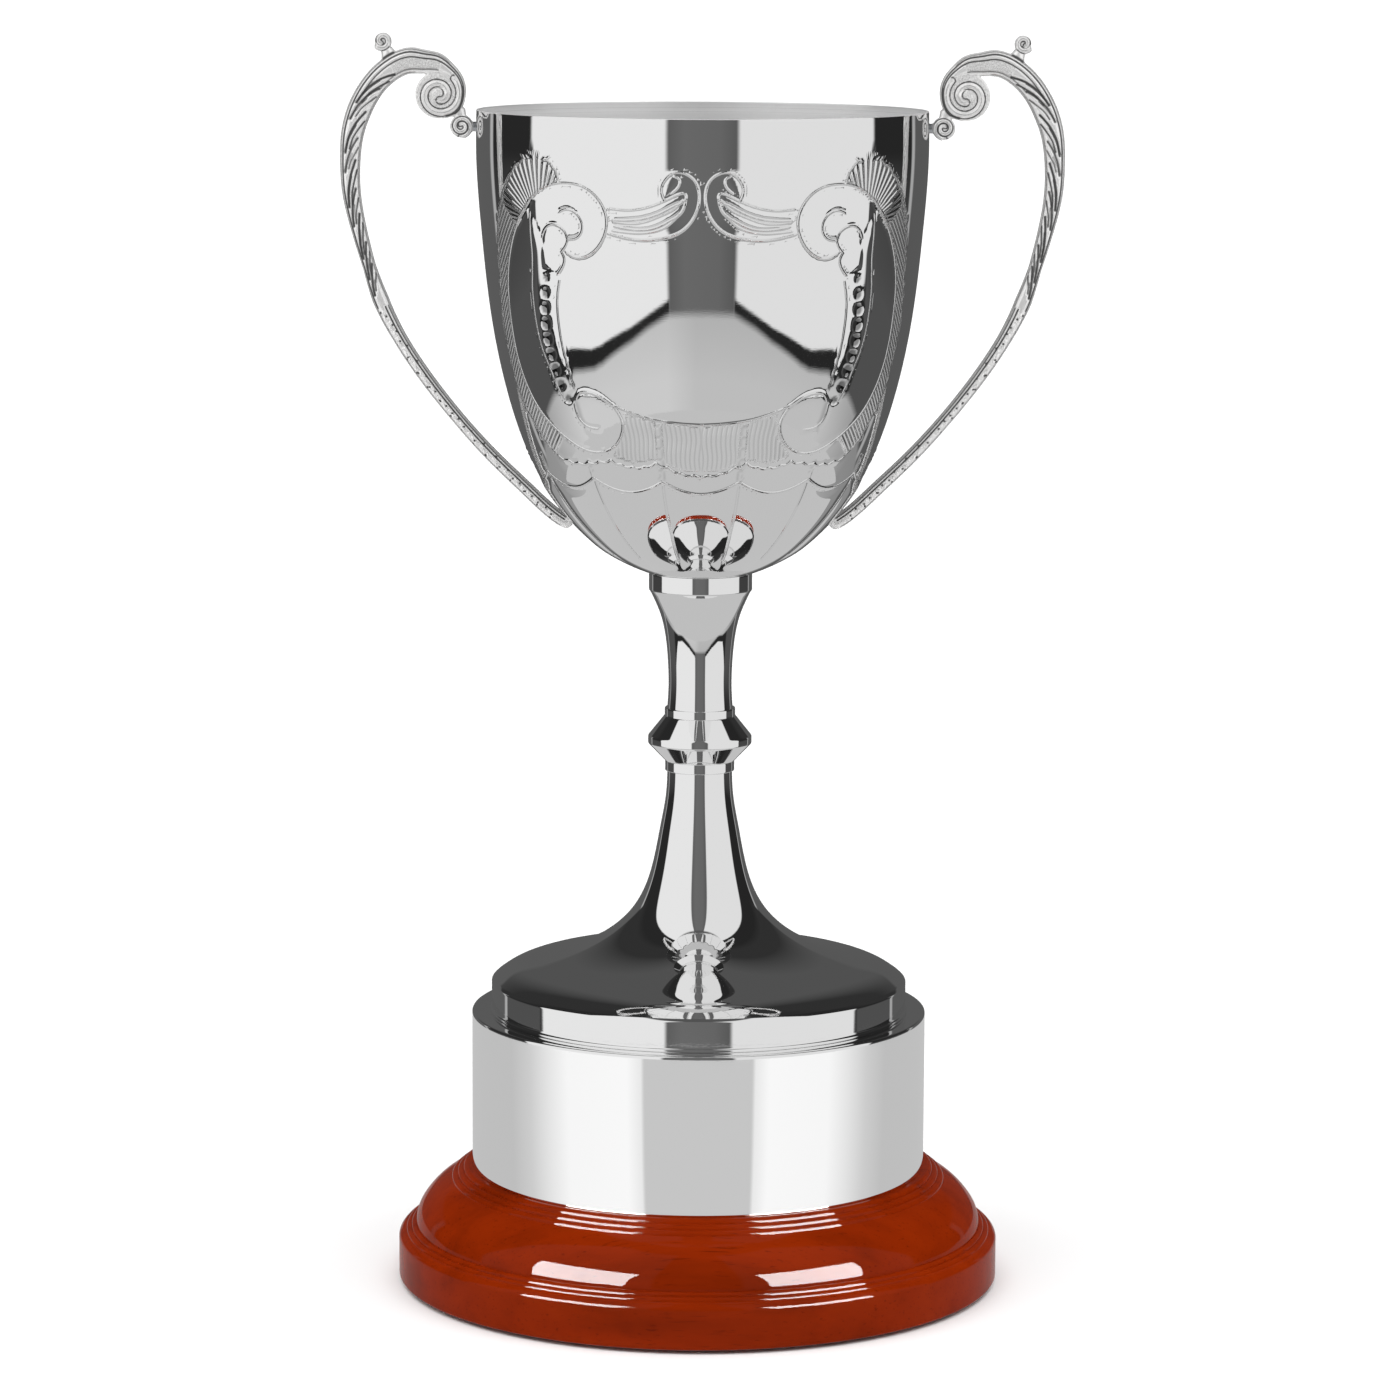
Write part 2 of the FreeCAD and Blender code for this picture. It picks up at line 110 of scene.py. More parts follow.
def rounded(points, radius, count=4):
    """An outline with each inner corner replaced by a short round of about that radius."""
    out = [points[0]]
    for a, b, c in zip(points, points[1:], points[2:]):
        a, b, c = np.array(a, float), np.array(b, float), np.array(c, float)
        cut = min(radius, np.linalg.norm(a - b) * 0.45, np.linalg.norm(c - b) * 0.45)
        start = b + (a - b) / np.linalg.norm(a - b) * cut
        end = b + (c - b) / np.linalg.norm(c - b) * cut
        for t in np.linspace(0, 1, count + 1):
            out.append(tuple((1 - t) ** 2 * start + 2 * t * (1 - t) * b + t ** 2 * end))
    out.append(points[-1])
    return out


# ---------------------------------------------------------------- shader maths

class Wire:
    """A node's output that takes part in Python arithmetic."""

    def __init__(self, nodes, socket):
        self.nodes = nodes
        self.socket = socket

    def maths(self, operation, a, b=None):
        """One Math node on one or two values."""
        inputs = {0: a} if b is None else {0: a, 1: b}
        return self.nodes.add("ShaderNodeMath", {"operation": operation}, inputs)

    def __add__(self, other):
        return self.maths("ADD", self, other)

    def __sub__(self, other):
        return self.maths("SUBTRACT", self, other)

    def __rsub__(self, other):
        return self.maths("SUBTRACT", other, self)

    def __mul__(self, other):
        return self.maths("MULTIPLY", self, other)

    def __truediv__(self, other):
        return self.maths("DIVIDE", self, other)

    def __rtruediv__(self, other):
        return self.maths("DIVIDE", other, self)

    def call(self, operation, other=None):
        """A named Math operation, such as SINE, on this value."""
        return self.maths(operation, self, other)

    __radd__ = __add__
    __rmul__ = __mul__


class Nodes:
    """A node tree with one method that adds nodes."""

    def __init__(self, tree):
        self.tree = tree

    def add(self, kind, settings=None, inputs=None, output=0):
        """Adds a node, sets its settings, then feeds its sockets."""
        node = self.tree.nodes.new(kind)
        for name, value in (settings or {}).items():
            if name == "stops":
                self.set_stops(node.color_ramp, value)
            else:
                setattr(node, name, value)
        for key, value in (inputs or {}).items():
            self.feed(node.inputs[key], value)
        return Wire(self, node.outputs[output])

    def set_stops(self, ramp, stops):
        """Fills a colour ramp from (position, colour) pairs."""
        while len(ramp.elements) < len(stops):
            ramp.elements.new(1.0)
        for element, (position, colour) in zip(ramp.elements, stops):
            element.position = position
            element.color = (*colour, 1.0)

    def feed(self, socket, value):
        """Links a wire to a socket, or sets the socket's own value."""
        if isinstance(value, Wire):
            self.tree.links.new(value.socket, socket)
        else:
            socket.default_value = value

    def place(self):
        """Object coordinates in metres."""
        return self.add("ShaderNodeTexCoord", output=3)

    def parts(self, vector):
        """The three numbers of a vector."""
        first = self.add("ShaderNodeSeparateXYZ", inputs={0: vector})
        outputs = first.socket.node.outputs
        return [Wire(self, outputs[i]) for i in range(3)]

    def join(self, x, y, z):
        """A vector from three numbers."""
        return self.add("ShaderNodeCombineXYZ", inputs={0: x, 1: y, 2: z})

    def stretched(self, vector, scale):
        """A vector scaled on each axis."""
        return self.add("ShaderNodeVectorMath", {"operation": "MULTIPLY"}, {0: vector, 1: scale})

    def noise(self, vector, scale, detail=2.0, roughness=0.5):
        """Noise from 0 to 1 about 0.5."""
        return self.add("ShaderNodeTexNoise", None,
                        {"Vector": vector, "Scale": scale, "Detail": detail, "Roughness": roughness})

    def ranged(self, value, low, high, to_low=0.0, to_high=1.0, smooth=False):
        """A value carried from one range to another, held at the ends."""
        kind = "SMOOTHSTEP" if smooth else "LINEAR"
        return self.add("ShaderNodeMapRange", {"interpolation_type": kind},
                        {"Value": value, "From Min": low, "From Max": high,
                         "To Min": to_low, "To Max": to_high})

    def ramp(self, value, stops):
        """A colour ramp."""
        return self.add("ShaderNodeValToRGB", {"stops": stops}, {0: value})

    def mixed(self, factor, a, b):
        """Colour a to colour b by factor."""
        a, b = [one if isinstance(one, Wire) else (*one, 1) for one in (a, b)]
        return self.add("ShaderNodeMix", {"data_type": "RGBA"}, {0: factor, 6: a, 7: b}, output=2)

    def attribute(self, name):
        """A number stored on the mesh's points."""
        return self.add("ShaderNodeAttribute", {"attribute_name": name}, output=2)

    def bump(self, height, distance, strength=1.0, under=None):
        """A bump normal from a height, over another normal where one is given."""
        inputs = {"Height": height, "Distance": distance, "Strength": strength}
        if under is not None:
            inputs["Normal"] = under
        return self.add("ShaderNodeBump", None, inputs)


class Finish(Nodes):
    """A material around one Principled shader."""

    def __init__(self, name, **constants):
        self.material = bpy.data.materials.new(name)
        self.material.use_nodes = True
        super().__init__(self.material.node_tree)
        self.shader = self.tree.nodes["Principled BSDF"]
        self.set(**constants)

    def set(self, **values):
        """Feeds the shader's sockets, named with underscores for spaces."""
        for name, value in values.items():
            self.feed(self.shader.inputs[name.replace("_", " ").title().replace("Ior", "IOR")], value)
        return self.material


def polish_marks(finish, base_roughness):
    """Handling smudges and hairlines of a hand-polished surface, as (roughness, normal)."""
    place = finish.place()
    smudge = finish.noise(place, 38.0, 4.0, 0.6)
    hairs = finish.noise(finish.stretched(place, (1.0, 1.0, 9.0)), 420.0, 2.0)
    rough = finish.ranged(smudge, 0.35, 0.75, base_roughness * 0.7, base_roughness * 1.8)
    wave = finish.bump(finish.noise(place, 22.0, 1.0), 0.00006, 0.5)
    return rough, finish.bump(hairs, 0.0000025, 0.4, wave)


def polished_plate(tint):
    """Mirror-polished plate for the turned and spun parts."""
    finish = Finish("mirror_plate", base_color=(*tint, 1), metallic=1.0)
    rough, normal = polish_marks(finish, 0.02)
    return finish.set(roughness=rough, normal=normal)


def chased_plate(tint):
    """Mirror-polished plate with the fine hatching and raised lines of the chasing, and painted shade in the
    hatch cuts, the hollows and beside the lines.
    """
    finish = Finish("chased_plate", metallic=1.0)
    rough, normal = polish_marks(finish, 0.02)
    depth = finish.attribute("hatch_depth")
    cuts = (finish.attribute("hatch_phase") * (2 * math.pi)).call("SINE")
    height = cuts * depth
    lines, flanks = 0.0, 0.0
    for i in range(LINE_SETS):
        gap = finish.attribute("line_gap_%d" % i)
        weight = finish.attribute("line_weight_%d" % i)
        lines = weight * (gap * gap * -14.0).call("EXPONENT") + lines
        flanks = weight * (gap * gap * -5.0).call("EXPONENT") + flanks
    # painted shade: the colour darkens in the hatch cuts, in the hollows and along the flanks of the raised
    # lines
    cut_shade = finish.ranged(height, 0.0, -1.0, 0.0, 0.5) + finish.attribute("hollow")
    flank_shade = finish.ranged(flanks - lines, 0.05, 0.6, 0.0, 0.3)
    shade = finish.mixed((cut_shade + flank_shade).call("MINIMUM", 0.85), tint, [c * 0.2 for c in tint])
    raised = finish.bump(lines, 0.0003, 1.0, normal)
    return finish.set(base_color=shade, roughness=finish.ranged(depth, 0.0, 1.0, 0.0, 0.12) + rough,
                      normal=finish.bump(height, 0.00022, 1.0, raised))


def satin_plate(tint):
    """Satin plate inside the bowl, brushed round and round."""
    finish = Finish("satin_plate", metallic=0.55)
    x, y, z = finish.parts(finish.place())
    radius = (x * x + y * y).call("SQRT")
    lines = finish.noise(finish.join(radius, 0.0, z), 5200.0, 2.0, 0.7)
    broad = finish.noise(finish.join(radius * 0.4, 0.0, z), 260.0, 3.0)
    shade = finish.mixed(finish.ranged(broad, 0.3, 0.7), [c * 0.82 for c in tint], tint)
    rough = finish.ranged(lines, 0.3, 0.7, 0.26, 0.40)
    return finish.set(base_color=shade, roughness=rough, normal=finish.bump(lines, 0.00005, 0.8))


def cast_plate(tint):
    """Bright cast plate, darkened with painted shade in its hollows, with a fine stippled ground."""
    finish = Finish("scroll_casting", metallic=0.5)
    hollow = finish.attribute("hollow")
    ground = finish.attribute("ground")
    place = finish.place()
    stipple = finish.add("ShaderNodeTexVoronoi", {"feature": "F1"}, {"Vector": place, "Scale": 1700.0})
    grain = finish.noise(place, 900.0, 3.0)
    # painted shade: the hollows go nearly black, and rougher
    shade_in_hollows = finish.ranged(hollow, 0.05, 0.85, 0.0, 0.95, smooth=True)
    shade = finish.mixed(shade_in_hollows, tint, [c * 0.05 for c in tint])
    rough = 0.13 + 0.2 * shade_in_hollows + 0.12 * finish.ranged(grain, 0.3, 0.7)
    pits = finish.bump(stipple * ground, 0.00022, 0.9)
    return finish.set(base_color=shade, roughness=rough, normal=finish.bump(grain, 0.00003, 0.5, pits))


def mahogany(tint):
    """Red-brown stained mahogany under thick gloss lacquer."""
    finish = Finish("gloss_mahogany", coat_weight=0.6, coat_roughness=0.02, coat_ior=1.19,
                    specular_ior_level=0.0)
    place = finish.place()
    figure = finish.noise(finish.stretched(place, (7.0, 60.0, 60.0)), 1.0, 4.0, 0.6)
    pores = finish.noise(finish.stretched(place, (60.0, 1300.0, 1300.0)), 1.0, 2.0, 0.6)
    dark = [c * 0.68 for c in tint]
    light = [tint[0] * 1.14, tint[1] * 1.2, tint[2] * 1.2]
    body = finish.ramp(figure, [(0.28, dark), (0.5, tint), (0.72, light)])
    marked = finish.mixed(finish.ranged(pores, 0.62, 0.72, 0.0, 0.5), body, [c * 0.25 for c in tint])
    return finish.set(base_color=marked, roughness=finish.ranged(figure, 0.3, 0.7, 0.35, 0.5),
                      normal=finish.bump(figure, 0.00004, 0.4))


def turned_wood(tint):
    """Bare turned wood of the core."""
    finish = Finish("turned_core")
    place = finish.place()
    figure = finish.noise(finish.stretched(place, (12.0, 150.0, 150.0)), 1.0, 4.0, 0.6)
    body = finish.ramp(figure, [(0.3, [c * 0.6 for c in tint]), (0.6, tint)])
    return finish.set(base_color=body, roughness=finish.ranged(figure, 0.3, 0.7, 0.55, 0.75),
                      normal=finish.bump(figure, 0.0002, 0.5))


def wool_felt(tint):
    """Pressed wool felt."""
    finish = Finish("wool_felt", sheen_weight=0.5, sheen_roughness=0.5)
    place = finish.place()
    fluff = finish.noise(place, 900.0, 6.0, 0.7)
    body = finish.ramp(fluff, [(0.3, [c * 0.5 for c in tint]), (0.7, [min(1.0, c * 1.4) for c in tint])])
    return finish.set(base_color=body, roughness=finish.ranged(fluff, 0.3, 0.7, 0.85, 1.0),
                      normal=finish.bump(fluff, 0.0004, 0.8))


def zinc_hardware(tint):
    """Zinc-plated steel fasteners."""
    finish = Finish("zinc_hardware", metallic=1.0)
    spangle = finish.noise(finish.place(), 700.0, 3.0)
    body = finish.ramp(spangle, [(0.3, [c * 0.8 for c in tint]), (0.7, tint)])
    return finish.set(base_color=body, roughness=finish.ranged(spangle, 0.3, 0.7, 0.25, 0.4),
                      normal=finish.bump(spangle, 0.00002, 0.4))


# ---------------------------------------------------------------- mesh helpers

def spun_shell(outline, sectors):
    """A mesh turned about Z from an outline in metres, by a run of (degrees, steps) repeated all round."""
    bm = bmesh.new()
    verts = [bm.verts.new((0, -r, z)) for r, z in outline]
    geom = verts + [bm.edges.new(pair) for pair in zip(verts, verts[1:])]
    for angle, steps in sectors:
        made = bmesh.ops.spin(bm, geom=geom, cent=(0, 0, 0), axis=(0, 0, 1), angle=math.radians(angle),
                              steps=steps, use_merge=False, use_duplicate=False)
        geom = made["geom_last"]
    run = sum(angle for angle, _ in sectors)
    first = bm.verts[:] + bm.edges[:] + bm.faces[:]
    for i in range(1, round(360 / run)):
        copy = bmesh.ops.duplicate(bm, geom=first)["geom"]
        bmesh.ops.rotate(bm, cent=(0, 0, 0), matrix=Matrix.Rotation(math.radians(run * i), 3, "Z"),
                         verts=[one for one in copy if isinstance(one, bmesh.types.BMVert)])
    bmesh.ops.remove_doubles(bm, verts=bm.verts[:], dist=1e-6)
    bmesh.ops.recalc_face_normals(bm, faces=bm.faces[:])
    return bm


def guarded(outline):
    """An outline with points added just inside the ends of its long runs, so that they shade flat."""
    long_run, guard = 1.5, 0.3
    points = []
    for (r0, z0), (r1, z1) in zip(outline, list(outline[1:]) + [outline[0]]):
        points.append((r0, z0))
        length = math.hypot(r1 - r0, z1 - z0)
        if length > long_run:
            inset = guard / length
            points += [(r0 + (r1 - r0) * u, z0 + (z1 - z0) * u) for u in (inset, 1 - inset)]
    return points


def closed(outline):
    """An outline in millimetres as a closed loop in metres."""
    loop = [(r * MM, z * MM) for r, z in guarded(outline)]
    return loop + [loop[0]]


def finished(bm, name, material, nodes, sharp=0.0):
    """Turns a bmesh into the piece that stands for some CAD nodes."""
    mesh = bpy.data.meshes.new(name)
    bm.to_mesh(mesh)
    bm.free()
    materials = material if isinstance(material, list) else [material]
    for one in materials:
        mesh.materials.append(one)
    mesh.polygons.foreach_set("use_smooth", [True] * len(mesh.polygons))
    if sharp:
        mesh.set_sharp_from_angle(angle=math.radians(sharp))
    piece = bpy.data.objects.new(name, mesh)
    bpy.context.scene.collection.objects.link(piece)
    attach(piece, BODY)
    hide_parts(*nodes)
    return piece


def point_array(mesh):
    """A mesh's points as an array in millimetres."""
    co = np.empty(len(mesh.vertices) * 3)
    mesh.vertices.foreach_get("co", co)
    return co.reshape(-1, 3) / MM


def store(mesh, name, values):
    """Stores one number per point under a name."""
    attribute = mesh.attributes.new(name, "FLOAT", "POINT")
    attribute.data.foreach_set("value", np.asarray(values, np.float32))


# ---------------------------------------------------------------- relief

LINE_SETS = 4


class Relief:
    """Heights, painted shade for the hollows, hatching and fine lines over a set of points, drawn stroke by
    stroke.
    """

    def __init__(self, places, lift):
        self.places = places
        self.lift = lift
        self.height = np.zeros(len(places))
        # painted shade: how far the colour is darkened at each point, in hollows and beside raised work
        self.hollow = np.zeros(len(places))
        self.ground = np.zeros(len(places))
        self.hatch_depth = np.zeros(len(places))
        self.hatch_phase = np.zeros(len(places))
        self.line_gaps = np.full((LINE_SETS, len(places)), 1.5)
        self.line_weights = np.zeros((LINE_SETS, len(places)))

    def distance(self, path, reach):
        """Which places lie near a line of points, and their distances to it."""
        path = np.asarray(path, float)
        solid = self.lift(path)
        low, high = solid.min(0) - reach, solid.max(0) + reach
        near = np.flatnonzero(np.all((self.solid >= low) & (self.solid <= high), axis=1))
        spots = self.solid[near]
        best = np.full(len(near), 1e9)
        for a, b in zip(solid, solid[1:]):
            way = b - a
            t = np.clip((spots - a) @ way / max(way @ way, 1e-12), 0, 1)
            best = np.minimum(best, np.linalg.norm(spots - a - t[:, None] * way, axis=1))
        return near, best

    @property
    def solid(self):
        """The places in space."""
        if not hasattr(self, "_solid"):
            self._solid = self.lift(self.places)
        return self._solid

    def line(self, line_set, path, weight=1.0):
        """Draws a fine line, kept as the signed distance to it, which the material sharpens into a raised
        line with painted shade along its flanks.
        """
        path = np.asarray(path, float)
        solid = self.lift(path)
        low, high = solid.min(0) - 1.5, solid.max(0) + 1.5
        near = np.flatnonzero(np.all((self.solid >= low) & (self.solid <= high), axis=1))
        spots, flat = self.solid[near], self.places[near]
        best = np.full(len(near), 1e9)
        side = np.ones(len(near))
        past = np.zeros(len(near), bool)
        last = len(path) - 2
        for i in range(last + 1):
            way, flat_way = solid[i + 1] - solid[i], path[i + 1] - path[i]
            t = (spots - solid[i]) @ way / max(way @ way, 1e-12)
            gap = np.linalg.norm(spots - solid[i] - np.clip(t, 0, 1)[:, None] * way, axis=1)
            turn = flat_way[0] * (flat[:, 1] - path[i, 1]) - flat_way[1] * (flat[:, 0] - path[i, 0])
            closer = gap < best
            best = np.where(closer, gap, best)
            side = np.where(closer, np.where(turn < 0, -1.0, 1.0), side)
            past = np.where(closer, ((i == 0) & (t < 0)) | ((i == last) & (t > 1)), past)
        nearer = best < np.abs(self.line_gaps[line_set][near])
        chosen = near[nearer]
        self.line_gaps[line_set][chosen] = (side * best)[nearer]
        fade = np.clip((0.95 - best) / 0.4, 0, 1) * ~past * weight
        self.line_weights[line_set][chosen] = fade[nearer]

    def ridge(self, path, width, height):
        """Raises a rounded line."""
        near, gap = self.distance(path, width)
        self.height[near] += np.clip(1 - (gap / width) ** 2, 0, 1) ** 1.5 * height

    def groove(self, path, width, depth, painted_tone=1.0):
        """Cuts a rounded line and darkens its bottom with painted shade."""
        near, gap = self.distance(path, width)
        cut = np.clip(1 - (gap / width) ** 2, 0, 1) ** 1.5
        self.height[near] -= cut * depth
        self.hollow[near] = np.maximum(self.hollow[near], cut * painted_tone)

    def bead(self, place, radius, height):
        """Raises a round boss with a faint painted shade round its foot."""
        spots = self.solid - self.lift(np.array([place]))[0]
        gap = np.linalg.norm(spots, axis=1) / radius
        self.height += np.sqrt(np.clip(1 - gap ** 2, 0, 1)) * height
        ring = np.clip(1 - (np.abs(gap - 1.12) / 0.2) ** 2, 0, 1)
        self.hollow = np.maximum(self.hollow, ring * 0.25)

    def dimple(self, place, radius, depth):
        """Presses a round hollow and darkens it with painted shade."""
        spots = self.solid - self.lift(np.array([place]))[0]
        gap = np.linalg.norm(spots, axis=1) / radius
        self.height -= np.clip(1 - gap ** 2, 0, 1) * depth
        self.hollow = np.maximum(self.hollow, np.clip((0.95 - gap) / 0.3, 0, 1))

    def inside(self, outline):
        """Which places lie inside a closed outline."""
        outline = np.asarray(outline, float)
        x, y = self.places[:, 0], self.places[:, 1]
        odd = np.zeros(len(x), bool)
        for (x0, y0), (x1, y1) in zip(outline, np.roll(outline, -1, axis=0)):
            if y0 == y1:
                continue
            crosses = (y0 > y) != (y1 > y)
            odd ^= crosses & (x < (x1 - x0) * (y - y0) / (y1 - y0) + x0)
        return odd

    def pillow(self, outline, height, width):
        """Domes the ground inside a closed outline over a width from its edge."""
        outline = np.asarray(outline, float)
        inside = self.inside(outline)
        near, gap = self.distance(np.vstack([outline, outline[:1]]), width)
        rise = np.where(inside, height, 0.0)
        rounded_edge = np.sqrt(1 - (1 - np.clip(gap / width, 0, 1)) ** 2)
        rise[near] *= np.where(inside[near], rounded_edge, 0)
        self.height += rise

    def hatch(self, outline, phase, depth):
        """Hatches the ground inside a closed outline; phase counts the cuts at each place."""
        inside = self.inside(outline)
        near, gap = self.distance(np.vstack([outline, outline[:1]]), 1.2)
        soft = np.where(inside, 1.0, 0.0)
        soft[near] *= np.clip(gap / 0.8, 0, 1)
        deeper = inside & (soft * depth > self.hatch_depth)
        self.hatch_depth = np.where(deeper, soft * depth, self.hatch_depth)
        self.hatch_phase = np.where(inside, phase, self.hatch_phase)


# ---------------------------------------------------------------- turned parts

def outline_band():
    """Cap over the plinth's core: a skirt, a small round and a flat top, as closed (radius, height)."""
    (_, _, low), (high_x, _, high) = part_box("plinth_band")
    radius, wall = high_x / MM, 0.8
    low, high = low / MM, high / MM
    skirt = rounded([(radius - wall, low), (radius, low), (radius, high), (0.0, high)], 0.7, 6)
    return skirt[:-1] + [(60.0, high), (3.2, high), (3.2, high - wall), (radius - wall, high - wall)]


def outline_base():
    """Moulding under the band: three beads, a bell, two fine beads and a straight side."""
    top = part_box("plinth_base")[1].z / MM
    top = min(top, 36.5)
    outline = [(3.2, top), (70.0, top), (72.9, top)]
    step = (1.833, -1.433)
    for i in range(3):
        a = (72.9 + i * step[0], top + i * step[1])
        b = (a[0] + step[0], a[1] + step[1])
        outline += arc_points(a, b, 0.55, 7)
    bell = Path([(78.4, 32.2), (82.6, 29.6), (86.6, 25.6), (89.0, 21.6), (89.8, 18.6)])
    outline += [tuple(p) for p in bell.spread(26)[1:]]
    outline.append((89.8, 17.9))
    outline += arc_points((89.8, 17.9), (91.3, 16.7), 0.44, 6)
    outline += arc_points((91.3, 16.7), (92.9, 15.7), 0.44, 6)
    outline += rounded([(92.9, 15.7), (93.9, 15.4), (95.2, 14.0), (95.2, 8.0)], 0.8, 5)[1:]
    outline += rounded([(95.2, 8.0), (95.2, 1.0), (90.0, 1.0)], 1.0, 5)[1:]
    return outline + [(12.0, 1.0), (12.0, 13.0), (3.2, 13.0)]


def outline_foot():
    """Trumpet foot with a flat-sided rim and a small rolled lip."""
    curve = [(64.6, 96.8), (61.0, 99.2), (50.0, 102.5), (38.0, 106.1), (31.0, 109.7), (26.0, 113.4),
             (22.2, 117.2), (17.4, 125.0), (14.2, 135.5), (12.2, 146.0), (10.6, 155.5), (10.2, 163.2)]
    skin = [tuple(p) for p in Path(curve).spread(90)]
    lip = [(64.4, 90.0), (64.4, 86.5), (66.1, 86.5), (66.1, 87.35), (65.6, 87.7), (65.6, 92.0)]
    rim = rounded(lip, 0.3, 3)
    edge = rounded([(65.6, 92.0), (65.6, 95.9), skin[0], skin[1]], 0.25, 3)
    inside = [(r - 0.4, z - 1.2) for r, z in skin[::6]]
    return rim + edge[1:-2] + skin + [(5.0, 163.2), (5.0, 159.0)] + inside[::-1]


def outline_knop():
    """Double-cone knop between two collars."""
    points = [(10.5, 163.2), (10.9, 163.2), (10.9, 166.4), (11.2, 166.6), (16.3, 171.9), (16.3, 174.2),
              (11.3, 180.5), (11.1, 180.6), (11.1, 183.2), (10.0, 183.2)]
    return rounded(points, 0.35, 4) + [(3.2, 183.2), (3.2, 163.2)]


def outline_stem():
    """Waisted stem with a broad collar under the bowl."""
    waist = Path([(10.3, 183.2), (9.95, 189.0), (10.05, 196.0), (10.9, 205.5), (12.4, 212.3), (15.6, 219.8)])
    collar = rounded([(15.6, 219.8), (16.2, 220.6), (16.2, 225.95), (15.5, 225.9)], 0.25, 3)
    return [tuple(p) for p in waist.spread(50)] + collar[1:] + [(8.0, 224.2), (3.2, 224.2), (3.2, 183.2)]


def outline_felt():
    """Felt disc with a soft edge."""
    (_, _, low), (high_x, _, high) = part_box("felt_pad")
    radius, low, high = high_x / MM, low / MM, high / MM
    edge = rounded([(40.0, low), (radius, low), (radius, high), (40.0, high)], 0.4, 4)
    return [(0.01, low)] + edge + [(0.01, high)]


# ---------------------------------------------------------------- bowl

BOWL_CURVE = [(8.0, 224.2), (16.3, 226.0), (28.8, 232.4), (39.7, 242.0), (48.7, 253.5), (55.0, 266.0),
              (60.6, 283.0), (65.7, 308.0), (68.5, 333.0), (70.1, 357.0), (70.0, 369.5)]
GORES = 14
GORE = 360.0 / GORES


class BowlWall:
    """The bowl's outer curve, with radius and slope by height."""

    def __init__(self, curve, wall):
        self.path = Path(curve)
        self.wall = wall
        fine = self.path.spread(4000)
        slope = np.gradient(fine, axis=0)
        slope /= np.linalg.norm(slope, axis=1)[:, None]
        self.heights = fine[:, 1]
        self.radii = fine[:, 0]
        self.slopes = slope

    def radius(self, z):
        """Outer radius at a height."""
        return np.interp(z, self.heights, self.radii)

    def normal(self, z):
        """Outward direction at a height, as (across, up)."""
        across = np.interp(z, self.heights, self.slopes[:, 1])
        up = -np.interp(z, self.heights, self.slopes[:, 0])
        size = np.hypot(across, up)
        return across / size, up / size

    def lift(self, places):
        """Points on the wall from (degrees round from the front, height)."""
        turn = np.radians(places[:, 0])
        r = self.radius(places[:, 1])
        return np.stack([r * np.sin(turn), -r * np.cos(turn), places[:, 1]], axis=1)

    def outline(self, rows_low, rows_chased, rows_top, rows_inside):
        """The wall's closed outline: outside from the rod hole up, over the lip and down inside."""
        along = np.linspace(0, self.path.at[-1], 4000)
        low, top = np.interp([240.0, 357.0], self.heights, along)
        stops = np.concatenate([np.linspace(0, low, rows_low)[:-1], np.linspace(low, top, rows_chased)[:-1],
                                np.linspace(top, along[-1], rows_top)])
        outside = [tuple(p) for p in self.path(stops)]
        inner = []
        for r, z in self.path.spread(rows_inside):
            across, up = self.normal(z)
            inner.append((r - across * self.wall, z - up * self.wall))
        inner[0] = (8.0, 225.2)
        lip = rounded([outside[-1], (outside[-1][0], 370.0), (inner[-1][0], 370.0), inner[-1]], 0.2, 2)[1:-1]
        return [(3.2, 224.2)] + outside + lip + inner[::-1] + [(3.2, 225.2)]


def stroke(*points):
    """A smooth chased line through (degrees, height) points."""
    flat = Path([(a * 1.1, z) for a, z in points]).spaced(0.9)
    return [(a / 1.1, z) for a, z in flat]


def loop_of(*strokes):
    """One closed outline from strokes laid end to end."""
    return [p for one in strokes for p in one]


GREAT_OUTER = stroke((-48.1, 345.0), (-54.1, 337.2), (-58.7, 328.2), (-61.4, 318.6), (-62.2, 308.0),
                     (-61.9, 297.4), (-59.3, 287.2), (-54.2, 279.0), (-46.4, 272.8), (-37.7, 268.8),
                     (-30.0, 269.4), (-25.0, 273.4), (-23.6, 278.6), (-25.6, 283.0))
GREAT_RING = stroke((-48.1, 345.0), (-43.1, 348.7), (-36.2, 350.4), (-30.1, 349.2), (-25.9, 344.9),
                    (-24.4, 339.3), (-25.8, 333.6), (-29.9, 329.0), (-33.6, 328.1), (-36.8, 329.6))
RING_CURL = stroke((-38.2, 341.6), (-35.8, 342.5), (-33.6, 341.8), (-31.7, 339.4), (-31.6, 336.0),
                   (-33.4, 333.8), (-36.2, 333.4))
HUSK = stroke((-44.6, 333.6), (-43.6, 336.0), (-41.4, 337.6), (-38.5, 337.2), (-36.4, 335.0), (-36.3, 332.4),
              (-38.3, 329.6))
NECK = stroke((-38.3, 329.6), (-37.4, 327.6), (-38.2, 325.0), (-40.0, 322.6))
RIBBON_INSIDE = stroke((-39.4, 321.4), (-40.8, 314.7), (-41.0, 308.5), (-40.6, 301.1), (-39.4, 293.8),
                       (-38.4, 287.6))
RIBBON_OUTSIDE = stroke((-48.6, 341.0), (-48.9, 334.0), (-48.9, 326.9), (-49.7, 319.4), (-49.9, 312.1),
                        (-49.4, 304.7), (-48.2, 298.5), (-46.4, 293.3), (-44.8, 288.4), (-42.6, 284.2))
LOWER_CURL = stroke((-38.4, 284.6), (-37.4, 286.2), (-32.5, 287.0), (-28.7, 285.4), (-26.0, 283.4))
SHIELD_FOOT = stroke((-26.0, 283.4), (-22.0, 282.0), (-15.9, 280.0), (-7.8, 278.6), (0.0, 278.1))
LOWER_HOOK = stroke((-39.3, 283.2), (-38.4, 278.6), (-35.6, 276.5), (-32.0, 276.0))
